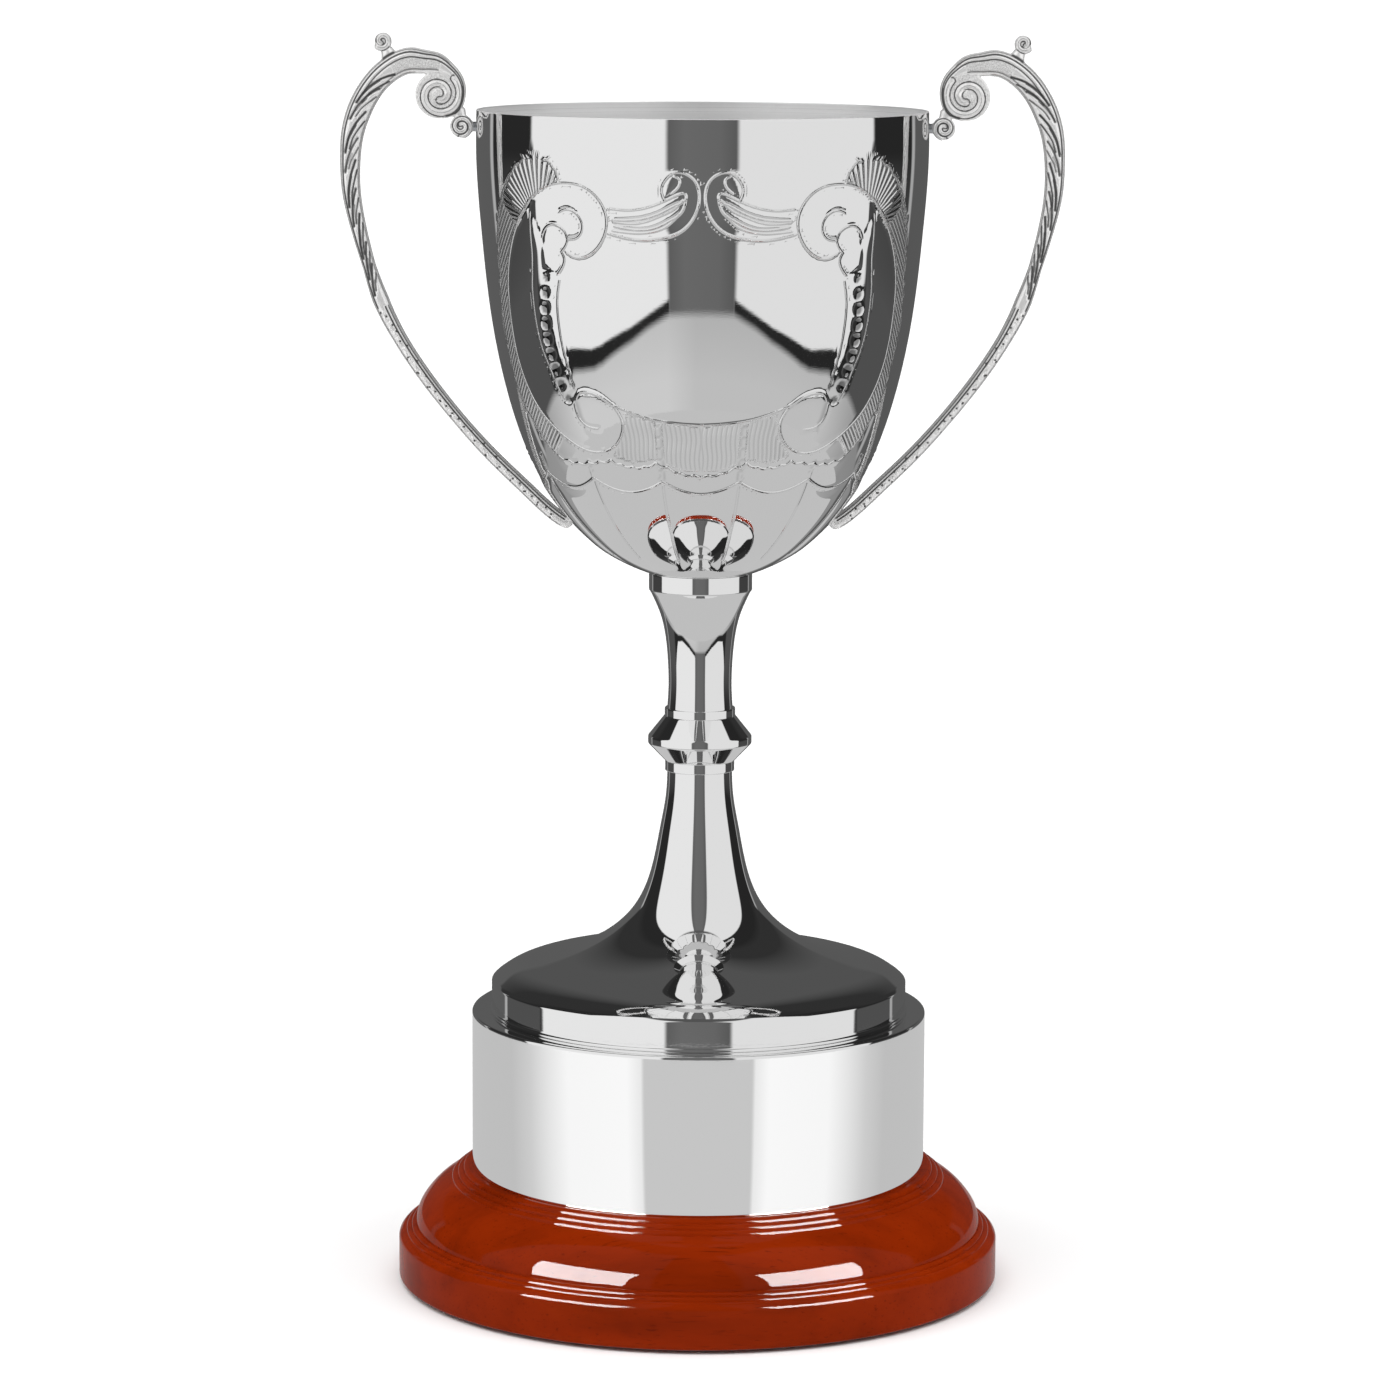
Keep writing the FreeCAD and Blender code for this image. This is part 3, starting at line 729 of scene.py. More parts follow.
FRIEZE_EDGE = stroke((-60.9, 344.8), (-63.6, 339.0), (-65.6, 331.5), (-66.0, 323.5), (-67.6, 312.8),
                     (-67.9, 302.2), (-67.2, 292.8), (-65.2, 283.4), (-60.2, 275.0), (-57.2, 270.4),
                     (-53.2, 266.8))
FAN_LOBES = [(-60.9, 344.8), (-58.6, 348.4), (-55.6, 352.2), (-52.0, 355.4), (-47.5, 357.2), (-42.7, 356.8),
             (-39.6, 354.4), (-38.2, 351.2)]
SCALLOPS = [(-52.6, 266.2), (-47.6, 265.0), (-43.2, 264.6), (-38.8, 265.0), (-34.2, 265.6), (-29.6, 266.4),
            (-26.4, 265.2), (-22.4, 264.6), (-18.4, 264.8), (-14.4, 266.2), (-10.6, 264.8), (-6.6, 263.0),
            (-2.2, 262.4), (2.2, 262.4)]
SCROLL = stroke((-24.1, 335.7), (-17.4, 334.1), (-10.3, 334.5), (-5.1, 336.8), (-1.7, 341.7), (-0.7, 347.0),
                (-1.7, 351.6), (-3.8, 353.8), (-6.7, 354.2), (-9.1, 352.0), (-10.1, 348.6), (-9.3, 345.8))
FINGERS = [
    stroke((-23.9, 343.2), (-17.2, 342.9), (-11.9, 344.4), (-6.8, 347.2), (-4.0, 347.8), (-3.9, 346.6),
           (-5.9, 344.9), (-9.6, 342.6), (-14.0, 340.6), (-22.7, 339.7)),
    stroke((-22.7, 339.3), (-15.0, 339.2), (-10.2, 341.3), (-5.9, 344.5), (-4.2, 346.4), (-4.6, 343.6),
           (-7.6, 340.2), (-12.0, 337.6), (-16.0, 337.0), (-22.6, 338.0)),
    stroke((-22.9, 336.6), (-14.0, 336.2), (-9.4, 337.8), (-5.9, 341.7)),
]


def scalloped(places, lift):
    """A run of small arcs that hang between places."""
    out = [places[0]]
    for a, b in zip(places, places[1:]):
        out += [(a[0] + (b[0] - a[0]) * t, a[1] + (b[1] - a[1]) * t - lift * math.sin(math.pi * t))
                for t in (0.25, 0.5, 0.75, 1.0)]
    return out


def chase_middle_scroll(relief):
    """One of the pair of scrolls that meet under the rim, with its leaf fingers."""
    for finger, line_set in zip(FINGERS[:2], (1, 2)):
        relief.pillow(finger, 0.32, 1.3)
        relief.line(line_set, finger)
    relief.line(3, FINGERS[2], 0.8)
    relief.pillow(SCROLL[-16:], 0.2, 1.2)
    relief.ridge(SCROLL, 0.8, 0.06)
    relief.line(0, SCROLL, 1.2)
    relief.line(2, stroke((-7.4, 348.2), (-5.6, 350.6), (-5.6, 352.4), (-6.8, 353.2)), 0.7)


def chase_great_scroll(relief):
    """The broad C-scroll: a gently domed ribbon that ends in a volute above and below."""
    ring = loop_of(GREAT_RING, HUSK[::-1], [(-48.4, 338.0)])
    relief.pillow(ring, 0.30, 2.6)
    ribbon = loop_of(RIBBON_INSIDE, RIBBON_OUTSIDE[::-1])
    relief.pillow(ribbon, 0.42, 2.4)
    bow = loop_of(GREAT_OUTER, LOWER_CURL[::-1], RIBBON_OUTSIDE[::-1])
    relief.pillow(bow, 0.16, 2.0)
    relief.ridge(GREAT_OUTER, 1.1, 0.18)
    relief.line(0, GREAT_OUTER, 1.2)
    relief.ridge(GREAT_RING, 1.0, 0.12)
    relief.line(1, GREAT_RING)
    relief.groove(RING_CURL, 1.2, 0.28, 0.0)
    relief.line(2, RING_CURL)
    relief.pillow(loop_of(HUSK, NECK, [(-44.4, 325.0)]), 0.35, 1.8)
    relief.line(3, loop_of(HUSK, NECK[1:]))
    relief.line(2, RIBBON_INSIDE, 0.7)
    relief.line(2, RIBBON_OUTSIDE, 0.35)
    relief.pillow(loop_of(LOWER_CURL, GREAT_OUTER[-22:][::-1], [(-31.0, 271.0), (-37.0, 275.0)]), 0.22, 2.4)
    relief.ridge(LOWER_CURL, 1.0, 0.15)
    relief.line(1, loop_of(LOWER_CURL, SHIELD_FOOT[1:]), 1.1)
    relief.line(3, LOWER_HOOK, 0.9)
    relief.groove(LOWER_HOOK, 1.1, 0.15, 0.0)


def chase_bead_drop(relief):
    """The string of dimples, darkened with painted shade, that hangs inside the ribbon."""
    run = Path([(-43.8, 321.6), (-44.7, 315.5), (-45.3, 310.3), (-45.5, 304.5), (-45.2, 299.7),
                (-44.3, 294.5), (-43.0, 289.3), (-41.2, 284.6)])
    for (turn, z), radius in zip(run.spread(9), (1.4, 1.9, 2.2, 2.4, 2.5, 2.4, 2.3, 2.0, 1.5)):
        relief.dimple((turn, z), radius, 0.35)


def chase_side_frieze(relief, wall):
    """Hatched frieze outside the ribbon, under a fan shell."""
    field = loop_of(FRIEZE_EDGE, GREAT_OUTER[:int(len(GREAT_OUTER) * 0.7)][::-1])
    arc_length = np.radians(relief.places[:, 0]) * wall.radius(relief.places[:, 1])
    relief.hatch(field, (arc_length * 0.8 - relief.places[:, 1] * 0.6) / 1.5, 0.4)
    relief.pillow(field, 0.2, 1.5)
    relief.line(1, FRIEZE_EDGE)
    fan_edge = scalloped(FAN_LOBES[::-1], -0.9)
    relief.line(1, fan_edge)
    fan = loop_of([(-60.0, 342.0)], fan_edge[::-1], [(-43.0, 348.0), (-48.5, 344.6), (-54.0, 336.4)])
    spread = np.degrees(np.arctan2((relief.places[:, 0] + 45.0) * 1.1, relief.places[:, 1] - 338.0))
    relief.hatch(fan, spread / 6.5, 0.7)
    relief.pillow(fan, 0.3, 1.5)
    for place, reach in zip(FRIEZE_EDGE[8::11], (1.3, 1.0) * 20):
        relief.bead((place[0] - 0.4, place[1]), reach, 0.22)


def chase_shell_frieze(relief):
    """Fluted shell frieze under the shield, split by chains of small bosses."""
    edge = scalloped(SCALLOPS, 0.7)
    relief.ridge(edge, 0.9, 0.15)
    relief.line(2, edge)
    middle = [(-11.8, 278.6), (0.5, 277.4), (0.5, 263.2), (-6.6, 263.8), (-11.4, 265.8)]
    outer = [(-22.0, 281.0), (-13.4, 279.0), (-13.8, 267.0), (-22.0, 265.6), (-28.6, 267.4), (-24.4, 274.0)]
    for field in (middle, outer):
        relief.hatch(field, relief.places[:, 0] / 1.45 + np.sin(relief.places[:, 1] * 0.5) * 0.2, 0.45)
    for i in range(10):
        relief.bead((-GORE / 2, 276.8 - 1.75 * i), 0.85, 0.35)


def chase_festoons(relief):
    """Swags round the bowl, one to each gore, each pair tied by a short drop."""
    for i in range(4):
        middle = -GORE * i
        swag = [(middle + GORE / 2 * u, 260.2 - 3.9 * (1 - u * u)) for u in np.linspace(-1, 1, 15)]
        relief.ridge(swag, 0.9, 0.14)
        relief.line(i % 2, swag)
        for drop in range(3):
            relief.bead((middle - GORE / 2, 261.4 + 1.6 * drop), 0.8, 0.35)


def chase_gores(relief):
    """Fourteen lobes round the lower bowl, parted by fine lines."""
    turn, z = relief.places[:, 0], relief.places[:, 1]
    share = (turn + GORE / 2) % GORE / GORE * 2 - 1
    low = np.clip((z - 226.6) / 9.0, 0, 1)
    swag = 260.2 - 3.9 * (1 - share ** 2)
    high = np.clip((swag - z) / 4.0, 0, 1)
    fade = (low * low * (3 - 2 * low)) * (high * high * (3 - 2 * high))
    relief.height += 0.75 * (1 - share ** 2) * fade
    for i in range(4):
        meridian = -GORE * (i + 0.5)
        relief.line(3, [(meridian, height) for height in np.arange(259.0, 231.0, -2.0)], 0.8)


def chased_bowl(wall, relief_scale, materials):
    """The bowl: a spun shell whose outside carries the chasing, front and back alike."""
    outline = [(r * MM, z * MM) for r, z in wall.outline(18, 168, 5, 22)]
    outline.append(outline[0])
    bm = spun_shell(outline, [(70, 105), (40, 16), (70, 105)])
    piece = finished(bm, "chased_bowl", materials, ["bowl"])
    mesh = piece.data
    spots = point_array(mesh)
    radius = np.hypot(spots[:, 0], spots[:, 1])
    height = spots[:, 2]
    outside = (np.abs(radius - wall.radius(height)) < 0.25) & (height > 224.3) & (height < 369.4)
    turn = np.degrees(np.arctan2(spots[:, 0], -spots[:, 1]))
    folded = -np.minimum(np.abs(turn), 180 - np.abs(turn))
    relief = Relief(np.stack([folded[outside], spots[outside, 2]], axis=1), wall.lift)
    chase_gores(relief)
    chase_great_scroll(relief)
    chase_bead_drop(relief)
    chase_middle_scroll(relief)
    chase_side_frieze(relief, wall)
    chase_shell_frieze(relief)
    chase_festoons(relief)
    across, up = wall.normal(spots[outside, 2])
    rise = relief.height * relief_scale
    heading = np.radians(turn[outside])
    ways = np.stack([across * np.sin(heading), -across * np.cos(heading), up], axis=1)
    spots[outside] += ways * rise[:, None]
    mesh.vertices.foreach_set("co", (spots * MM).ravel())
    fields = {"hollow": relief.hollow, "hatch_depth": relief.hatch_depth, "hatch_phase": relief.hatch_phase}
    for i in range(LINE_SETS):
        fields["line_gap_%d" % i] = relief.line_gaps[i]
        fields["line_weight_%d" % i] = relief.line_weights[i]
    for name, values in fields.items():
        whole = np.zeros(len(spots))
        whole[outside] = values
        store(mesh, name, whole)
    skin, lip = 0.6, 369.55
    inner = (radius < wall.radius(spots[:, 2]) - skin) | (spots[:, 2] > lip)
    corners = np.empty(len(mesh.loops), int)
    mesh.loops.foreach_get("vertex_index", corners)
    starts = np.empty(len(mesh.polygons), int)
    mesh.polygons.foreach_get("loop_start", starts)
    mesh.polygons.foreach_set("material_index", inner[corners[starts]].astype(int))
    mesh.update()
    return piece


# ---------------------------------------------------------------- handles

def swept(bm, line, widths, depths, power=2.6, count=20):
    """A bar along (x, z) points in millimetres: half widths in its plane, half depths across it."""
    line = np.asarray(line, float)
    ways = np.gradient(line, axis=0)
    ways /= np.linalg.norm(ways, axis=1)[:, None]
    run = np.concatenate([[0], np.cumsum(np.linalg.norm(np.diff(line, axis=0), axis=1))])
    share = run / run[-1]
    widths = np.interp(share, np.linspace(0, 1, len(widths)), widths)
    depths = np.interp(share, np.linspace(0, 1, len(depths)), depths)
    to_end = np.clip(np.minimum(run, run[-1] - run) / np.maximum(widths, 0.1), 0.0, 1.0)
    ends = np.maximum(np.sqrt(1 - (1 - to_end) ** 2), 0.12)
    last = None
    for (x, z), way, width, depth, end in zip(line, ways, widths, depths, ends):
        made = bmesh.ops.create_circle(bm, segments=count, radius=1.0)
        for vert in made["verts"]:
            across = math.copysign(abs(vert.co.x) ** (2 / power), vert.co.x) * width * end
            through = math.copysign(abs(vert.co.y) ** (2 / power), vert.co.y) * depth * end
            vert.co = Vector((x - way[1] * across, through, z + way[0] * across)) * MM
        edges = list({edge for vert in made["verts"] for edge in vert.link_edges})
        if last:
            bmesh.ops.bridge_loops(bm, edges=last + edges)
        else:
            bmesh.ops.holes_fill(bm, edges=edges)
        last = edges
    bmesh.ops.holes_fill(bm, edges=last)


def turned_disc(bm, centre, radius, half_depth):
    """A flat disc lying in the handle's plane, in millimetres."""
    place = Matrix.Translation(Vector((centre[0], 0, centre[1])) * MM) @ Matrix.Rotation(math.pi / 2, 4, "X")
    bmesh.ops.create_cone(bm, cap_ends=True, segments=48, radius1=radius * MM, radius2=radius * MM,
                          depth=2 * half_depth * MM, matrix=place)


def spiral(centre, start, turns, inner, outer, gap=0.5):
    """Points that wind outwards round a centre from an angle in degrees, clockwise for minus turns."""
    count = int(abs(turns) * math.pi * (inner + outer) / gap)
    share = np.linspace(0, 1, count)
    angles = math.radians(start) + 2 * math.pi * turns * share
    radii = inner + (outer - inner) * share
    return np.stack([centre[0] + radii * np.cos(angles), centre[1] + radii * np.sin(angles)], axis=1)


HANDLE_LINE = [(81.5, 368.0), (76.7, 369.6), (74.7, 374.4), (75.8, 379.2), (78.7, 382.2), (82.3, 384.1),
               (86.5, 384.5), (90.0, 384.8), (96.0, 382.6), (101.5, 377.6), (106.4, 369.0),
               (108.2, 363.2), (109.1, 354.6), (108.9, 345.3), (106.6, 333.0), (103.3, 321.0), (99.9, 311.0),
               (93.8, 298.8), (85.5, 286.3), (75.6, 273.8), (64.1, 261.2), (54.3, 251.8), (43.5, 242.5),
               (40.3, 240.6)]
RAIL_WIDTHS = [1.1, 1.3, 1.4, 1.7, 2.2, 3.2, 3.7, 4.1, 3.95, 3.85, 3.85, 3.6, 3.2, 2.95, 2.45, 2.05,
               2.6, 2.2, 2.1, 2.0, 2.1, 2.15, 2.2, 1.8]
BIG_VOLUTE = (81.5, 374.4)
SMALL_VOLUTE = (74.6, 364.7)
FINIAL = (99.0, 390.9)
BIG_WINDING = (BIG_VOLUTE, 260, -1.35, 1.7, 6.9)
SMALL_WINDING = (SMALL_VOLUTE, 60, 1.6, 0.7, 3.2)
FINIAL_WINDING = (FINIAL, 300, 1.1, 0.9, 2.5)
SHEATH = 117.0


def handle_blank(bm):
    """The handle's masses before chasing: rail, two volutes, finial, web and boss."""
    rail = Path(HANDLE_LINE)
    places = rail.spaced(0.8)
    at = np.linspace(0, rail.at[-1], len(places))
    widths = np.interp(at, rail.at, RAIL_WIDTHS)
    depths = np.interp(at, [0, 20, 60, 95, rail.at[-1]], [2.7, 3.1, 3.4, 2.9, 2.6])
    swept(bm, places, widths, depths, 3.0, 24)
    turned_disc(bm, BIG_VOLUTE, 7.3, 2.3)
    swept(bm, spiral(*BIG_WINDING), [0.7, 0.95, 1.2], [3.2, 3.4, 3.3], 2.0, 14)
    turned_disc(bm, BIG_VOLUTE, 2.2, 3.6)
    turned_disc(bm, SMALL_VOLUTE, 3.5, 2.0)
    swept(bm, spiral(*SMALL_WINDING), [0.5, 0.6, 0.75], [2.7, 2.9, 2.8], 2.0, 12)
    swept(bm, spiral(*FINIAL_WINDING), [0.8, 1.0, 1.1], [2.3, 2.5, 2.4], 2.0, 12)
    turned_disc(bm, FINIAL, 2.3, 1.3)
    swept(bm, [(98.8, 389.6), (97.7, 388.0), (96.8, 386.0), (96.2, 383.0)], [1.3, 2.0, 2.8, 3.0], [2.2, 2.6],
          2.4, 14)
    link = [(76.5, 371.5), (75.4, 369.5), (74.8, 367.0), (74.6, 365.0)]
    swept(bm, link, [2.4, 1.9, 1.6], [2.2, 2.0], 2.4, 14)
    swept(bm, [(76.0, 364.7), (73.0, 364.7), (69.6, 364.7)], [2.6, 3.0, 3.3], [2.0, 3.0, 3.3], 2.2, 20)


def cast_body(bm, name, voxel):
    """Fuses a bmesh's overlapping masses into one skin of about that grain, in metres."""
    mesh = bpy.data.meshes.new(name)
    bmesh.ops.recalc_face_normals(bm, faces=bm.faces[:])
    bm.to_mesh(mesh)
    bm.free()
    blank = bpy.data.objects.new(name, mesh)
    bpy.context.scene.collection.objects.link(blank)
    remesh = blank.modifiers.new("fuse", "REMESH")
    remesh.mode = "VOXEL"
    remesh.voxel_size = voxel
    fused = bpy.data.meshes.new_from_object(blank.evaluated_get(bpy.context.evaluated_depsgraph_get()))
    bpy.data.objects.remove(blank)
    body = bmesh.new()
    body.from_mesh(fused)
    for _ in range(3):
        bmesh.ops.smooth_vert(body, verts=body.verts, factor=0.5, use_axis_x=True, use_axis_y=True,
                              use_axis_z=True)
    return body


def beside_rail(share, start, end):
    """A line along the rail at a share of its half width, plus outwards, between two distances along it."""
    rail = Path(HANDLE_LINE)
    at = np.arange(start, end, 0.6)
    places = rail(at)
    ways = np.gradient(places, axis=0)
    ways /= np.linalg.norm(ways, axis=1)[:, None]
    share = np.broadcast_to(share, 2) if np.ndim(share) == 0 else np.asarray(share)
    offset = np.interp(np.linspace(0, 1, len(at)), np.linspace(0, 1, len(share)), share)
    width = np.interp(at, rail.at, RAIL_WIDTHS) * offset
    return places + np.stack([-ways[:, 1], ways[:, 0]], axis=1) * width[:, None]


def chase_rims(relief, length):
    """Lines of painted shade in shallow grooves that run with the rail: both its edges, the arch's rims and
    the sheath's.
    """
    # on both edges the painted dark stands in for a reflection of dark surroundings
    runs = [(0.95, 20, length - 3, 0.75, 0.1, 1.0), (-0.95, 30, length - 3, 0.75, 0.1, 1.0),
            (0.66, 2, SHEATH, 0.42, 0.3, 1.0), (0.30, 2, 50, 0.42, 0.3, 0.9),
            (-0.62, 22, 46, 0.38, 0.25, 0.7), (-0.28, SHEATH, length - 3, 0.42, 0.35, 1.0),
            (-0.66, SHEATH, length - 3, 0.36, 0.25, 0.8), (0.78, SHEATH, length - 3, 0.34, 0.2, 0.7)]
    for share, start, end, width, depth, painted_tone in runs:
        relief.groove(beside_rail(share, start, end), width, depth, painted_tone)


def chase_leaves(relief):
    """Overlapping leaves down the arch, each with two veins, the grooves darkened with painted shade."""
    for start, run, heavy in ((38, 15, 1.0), (45, 13, 0.85), (54, 14, 1.0), (63, 11, 0.8), (70, 15, 1.0),
                              (79, 12, 0.9), (87, 14, 1.0), (96, 12, 0.9), (103, 10, 0.9)):
        end = start + run
        relief.groove(beside_rail((-0.55, -0.1, 0.25, 0.42), start, end), 0.62, 0.6, heavy)
        relief.groove(beside_rail((-0.75, -0.45, -0.12, 0.05), start + 3, end - 1), 0.48, 0.4, heavy * 0.9)
        relief.groove(beside_rail((-0.2, 0.15, 0.5), start + 5, end), 0.4, 0.3, heavy * 0.75)


def chase_sheath(relief, length):
    """Pebbled outer half of the lower sheath."""
    count = 46
    for i in range(count):
        at = SHEATH + 1.5 + i * (length - SHEATH - 6) / count
        share = 0.26 + 0.30 * math.sin(i * 2.4)
        place = beside_rail(share, at, at + 1.3)[0]
        relief.bead(place, 0.75 + 0.25 * math.sin(i * 1.7), 0.38)
        relief.dimple(place + np.array([0.9 * math.cos(i * 2.1), 0.9 * math.sin(i * 2.1)]), 0.42, 0.2)


def chase_winding(relief, winding, width):
    """Sunk and stippled ground between the turns of a volute, darkened with painted shade, with painted dark
    lines beside its rib and along it.
    """
    centre, outer = winding[0], winding[-1]
    path = spiral(*winding, 0.3)
    near, gap = relief.distance(path, outer + 1.0)
    away = np.linalg.norm(relief.places[near] - np.array(centre), axis=1)
    ground = np.clip((gap - width * 0.75) / 0.3, 0, 1) * (away < outer)
    edge = np.clip(1 - ((gap - width * 0.8) / 0.28) ** 2, 0, 1) * (away < outer + 0.9)
    relief.hollow[near] = np.maximum(relief.hollow[near], np.maximum(ground * 0.22, edge))
    relief.ground[near] = np.maximum(relief.ground[near], ground)
    relief.groove(path, 0.3, 0.12, 0.45)


def chase_handle(relief):
    """Rim lines, overlapping leaves, pebbled sheath, the volutes and the arch's stippled field."""
    length = Path(HANDLE_LINE).at[-1]
    chase_rims(relief, length)
    chase_leaves(relief)
    chase_sheath(relief, length)
    for winding, width in ((BIG_WINDING, 1.45), (SMALL_WINDING, 0.85), (FINIAL_WINDING, 1.0)):
        chase_winding(relief, winding, width)
    field = relief.inside(np.vstack([beside_rail(0.22, 22, 38), beside_rail(-0.55, 22, 38)[::-1]]))
    # the field is stippled and darkened with painted shade
    relief.ground[field] = 1.0
    relief.hollow[field] = np.maximum(relief.hollow[field], 0.3)


def scrolled_handle(name, node, side, material):
    """One handle: fused, chased on both faces and mirrored to its side."""
    bm = bmesh.new()
    handle_blank(bm)
    body = cast_body(bm, name, 0.00028)
    if side < 0:
        bmesh.ops.scale(body, vec=(-1, 1, 1), verts=body.verts)
        bmesh.ops.reverse_faces(body, faces=body.faces)
    piece = finished(body, name, material, [node])
    mesh = piece.data
    spots = point_array(mesh)
    normals = np.empty(len(mesh.vertices) * 3)
    mesh.vertices.foreach_get("normal", normals)
    facing = normals.reshape(-1, 3)[:, 1]
    places = np.stack([spots[:, 0] * side, spots[:, 2]], axis=1)
    relief = Relief(places, lambda p: np.stack([p[:, 0], np.zeros(len(p)), p[:, 1]], axis=1))
    chase_handle(relief)
    share = np.clip((np.abs(facing) - 0.3) / 0.4, 0, 1)
    spots[:, 1] += np.sign(facing) * relief.height * share
    mesh.vertices.foreach_set("co", (spots * MM).ravel())
    store(mesh, "hollow", relief.hollow * share)
    store(mesh, "ground", relief.ground * share)
    mesh.update()
    return piece


# ---------------------------------------------------------------- stage

def studio_world():
    """White panels to either side with dark gaps between them, met only in reflections."""
    world = bpy.data.worlds.new("studio")
    world.use_nodes = True
    nodes = Nodes(world.node_tree)
    x, y, z = nodes.parts(nodes.add("ShaderNodeTexCoord"))
    # degrees round from the camera's side to either hand, and degrees up from level
    azimuth = x.call("ABSOLUTE").call("ARCTAN2", y * -1.0) * (180 / math.pi)
    elevation = z.call("ARCSINE") * (180 / math.pi)
    black, dim, grey, panel = [0.02] * 3, [0.14] * 3, [0.1] * 3, [0.8] * 3
    round_about = nodes.ramp(azimuth / 180, [
        (0.05, dim), (0.095, [0.11] * 3), (0.106, panel), (0.53, panel), (0.54, black), (0.735, black),
        (0.742, [0.4] * 3), (0.756, [0.4] * 3), (0.764, grey)])
    side = nodes.ranged(x, -0.2, 0.2, 1.05, 0.97)
    shade_in_hollows = nodes.add("ShaderNodeVectorMath", {"operation": "SCALE"}, {0: round_about, "Scale": side})
    behind = nodes.ranged(azimuth, 120.0, 130.0)
    rear = nodes.ranged(azimuth, 148.0, 168.0, 0.03, 0.085)
    above = nodes.mixed(behind * nodes.ranged(elevation, 15.0, 17.0), shade_in_hollows, nodes.join(rear, rear, rear))
    beyond = nodes.ranged(azimuth, 97.0, 99.0) * nodes.ranged(azimuth, 134.0, 132.0)
    filled = nodes.mixed(beyond * nodes.ranged(elevation, -3.0, -12.0), above, [0.08] * 3)
    roofed = nodes.mixed(nodes.ranged(elevation, 74.0, 76.0), filled, [0.09] * 3)
    foot_line = nodes.ranged(azimuth, 18.0, 40.0, -17.8, -20.6)
    foot_line = foot_line + nodes.ranged(azimuth, 40.0, 60.0, 0.0, -1.4)
    foot_line = foot_line + nodes.ranged(azimuth, 66.0, 80.0, 0.0, 1.5)
    rise = nodes.ranged(azimuth, 82.0, 96.0, 0.0, 8.0)
    beside = nodes.ranged(azimuth, 16.8, 18.0) * nodes.ranged(azimuth, 99.0, 96.0)
    lined = nodes.mixed(nodes.ranged(elevation - foot_line - rise, 0.3, -0.1) * beside, roofed, black)
    table = nodes.ranged(x, -0.30, -0.05, 0.63, 0.54) * nodes.ranged(elevation, -30.0, -19.0, 1.0, 0.86)
    table = table * nodes.ranged(azimuth, 85.0, 125.0, 1.0, 0.5)
    thick = nodes.ranged(azimuth, 30.0, 74.0, 0.1, 1.4)
    below = nodes.ranged(elevation - foot_line + thick, -1.0, -2.2)
    whole = nodes.mixed(below, lined, nodes.join(table, table, table))
    seen = nodes.add("ShaderNodeLightPath", output=0)
    shown = nodes.mixed(seen, whole, [1.0] * 3)
    nodes.feed(world.node_tree.nodes["Background"].inputs["Color"], shown)
    return world


def flat_disc(name, radius, height, material):
    """A flat stage disc."""
    bm = bmesh.new()
    verts = [bm.verts.new((0, -r, height)) for r in (1e-5, radius)]
    geom = verts + [bm.edges.new(verts)]
    bmesh.ops.spin(bm, geom=geom, cent=(0, 0, 0), axis=(0, 0, 1), angle=2 * math.pi, steps=128,
                   use_merge=True)
    bmesh.ops.remove_doubles(bm, verts=bm.verts, dist=1e-6)
    if bm.faces[:][0].normal.z < 0:
        bmesh.ops.reverse_faces(bm, faces=bm.faces)
    mesh = bpy.data.meshes.new(name)
    bm.to_mesh(mesh)
    bm.free()
    mesh.materials.append(material)
    made = bpy.data.objects.new(name, mesh)
    bpy.context.scene.collection.objects.link(made)
    return made


def linked_to(name, *pieces):
    """A collection of the pieces that a light is linked to."""
    made = bpy.data.collections.new(name)
    for piece in pieces:
        made.objects.link(bpy.data.objects[piece])
    return made


def pale_floor():
    """Matt pale floor."""
    finish = Finish("pale_floor", roughness=0.9, specular_ior_level=0.0)
    grain = finish.noise(finish.place(), 4.0, 2.0)
    return finish.set(base_color=finish.ramp(grain, [(0.3, [0.84] * 3), (0.7, [0.86] * 3)]))


def glowing_table_top(painted_tone):
    """Painted light for the table top that the low parts mirror: an even glow from above, clear from below.
    """
    finish = Finish("glowing_table_top", base_color=(0, 0, 0, 1), roughness=1.0, specular_ior_level=0.0,
                    emission_color=(painted_tone, painted_tone, painted_tone, 1), emission_strength=1.0)
    return one_sided(finish, Wire(finish, finish.shader.outputs[0]))


def one_sided(finish, surface):
    """Ends a material so that its underside is clear."""
    under = finish.add("ShaderNodeNewGeometry", output=6)
    clear = finish.add("ShaderNodeBsdfTransparent")
    both = finish.add("ShaderNodeMixShader", None, {0: under, 1: surface, 2: clear})
    finish.tree.links.new(both.socket, finish.tree.nodes["Material Output"].inputs["Surface"])
    return finish.material


def table_glow(band_radius):
    """Painted reflection: brightness that only the plate band picks up off the table, by the way its wall
    turns a look aside.
    """
    finish = Finish("table_glow")
    x, y, _ = finish.parts(finish.place())
    around = x.call("ABSOLUTE").call("ARCTAN2", y * -1.0)
    reach = band_radius / (x * x + y * y).call("SQRT")
    turned = around * 1.3
    for _ in range(3):
        turned = around + ((turned * 0.5).call("SINE") * reach).call("MINIMUM", 0.99).call("ARCSINE")
    painted_tone = finish.ramp(turned / math.pi, [
        (0.0, [0.05] * 3), (0.158, [0.05] * 3), (0.168, [0.32] * 3), (0.21, [0.46] * 3), (0.40, [0.44] * 3),
        (0.47, [0.28] * 3), (0.54, [0.10] * 3), (0.62, [0.0] * 3)])
    glow = finish.add("ShaderNodeEmission", None, {"Color": painted_tone})
    clear = finish.add("ShaderNodeBsdfTransparent")
    return one_sided(finish, finish.add("ShaderNodeAddShader", None, {0: glow, 1: clear}))


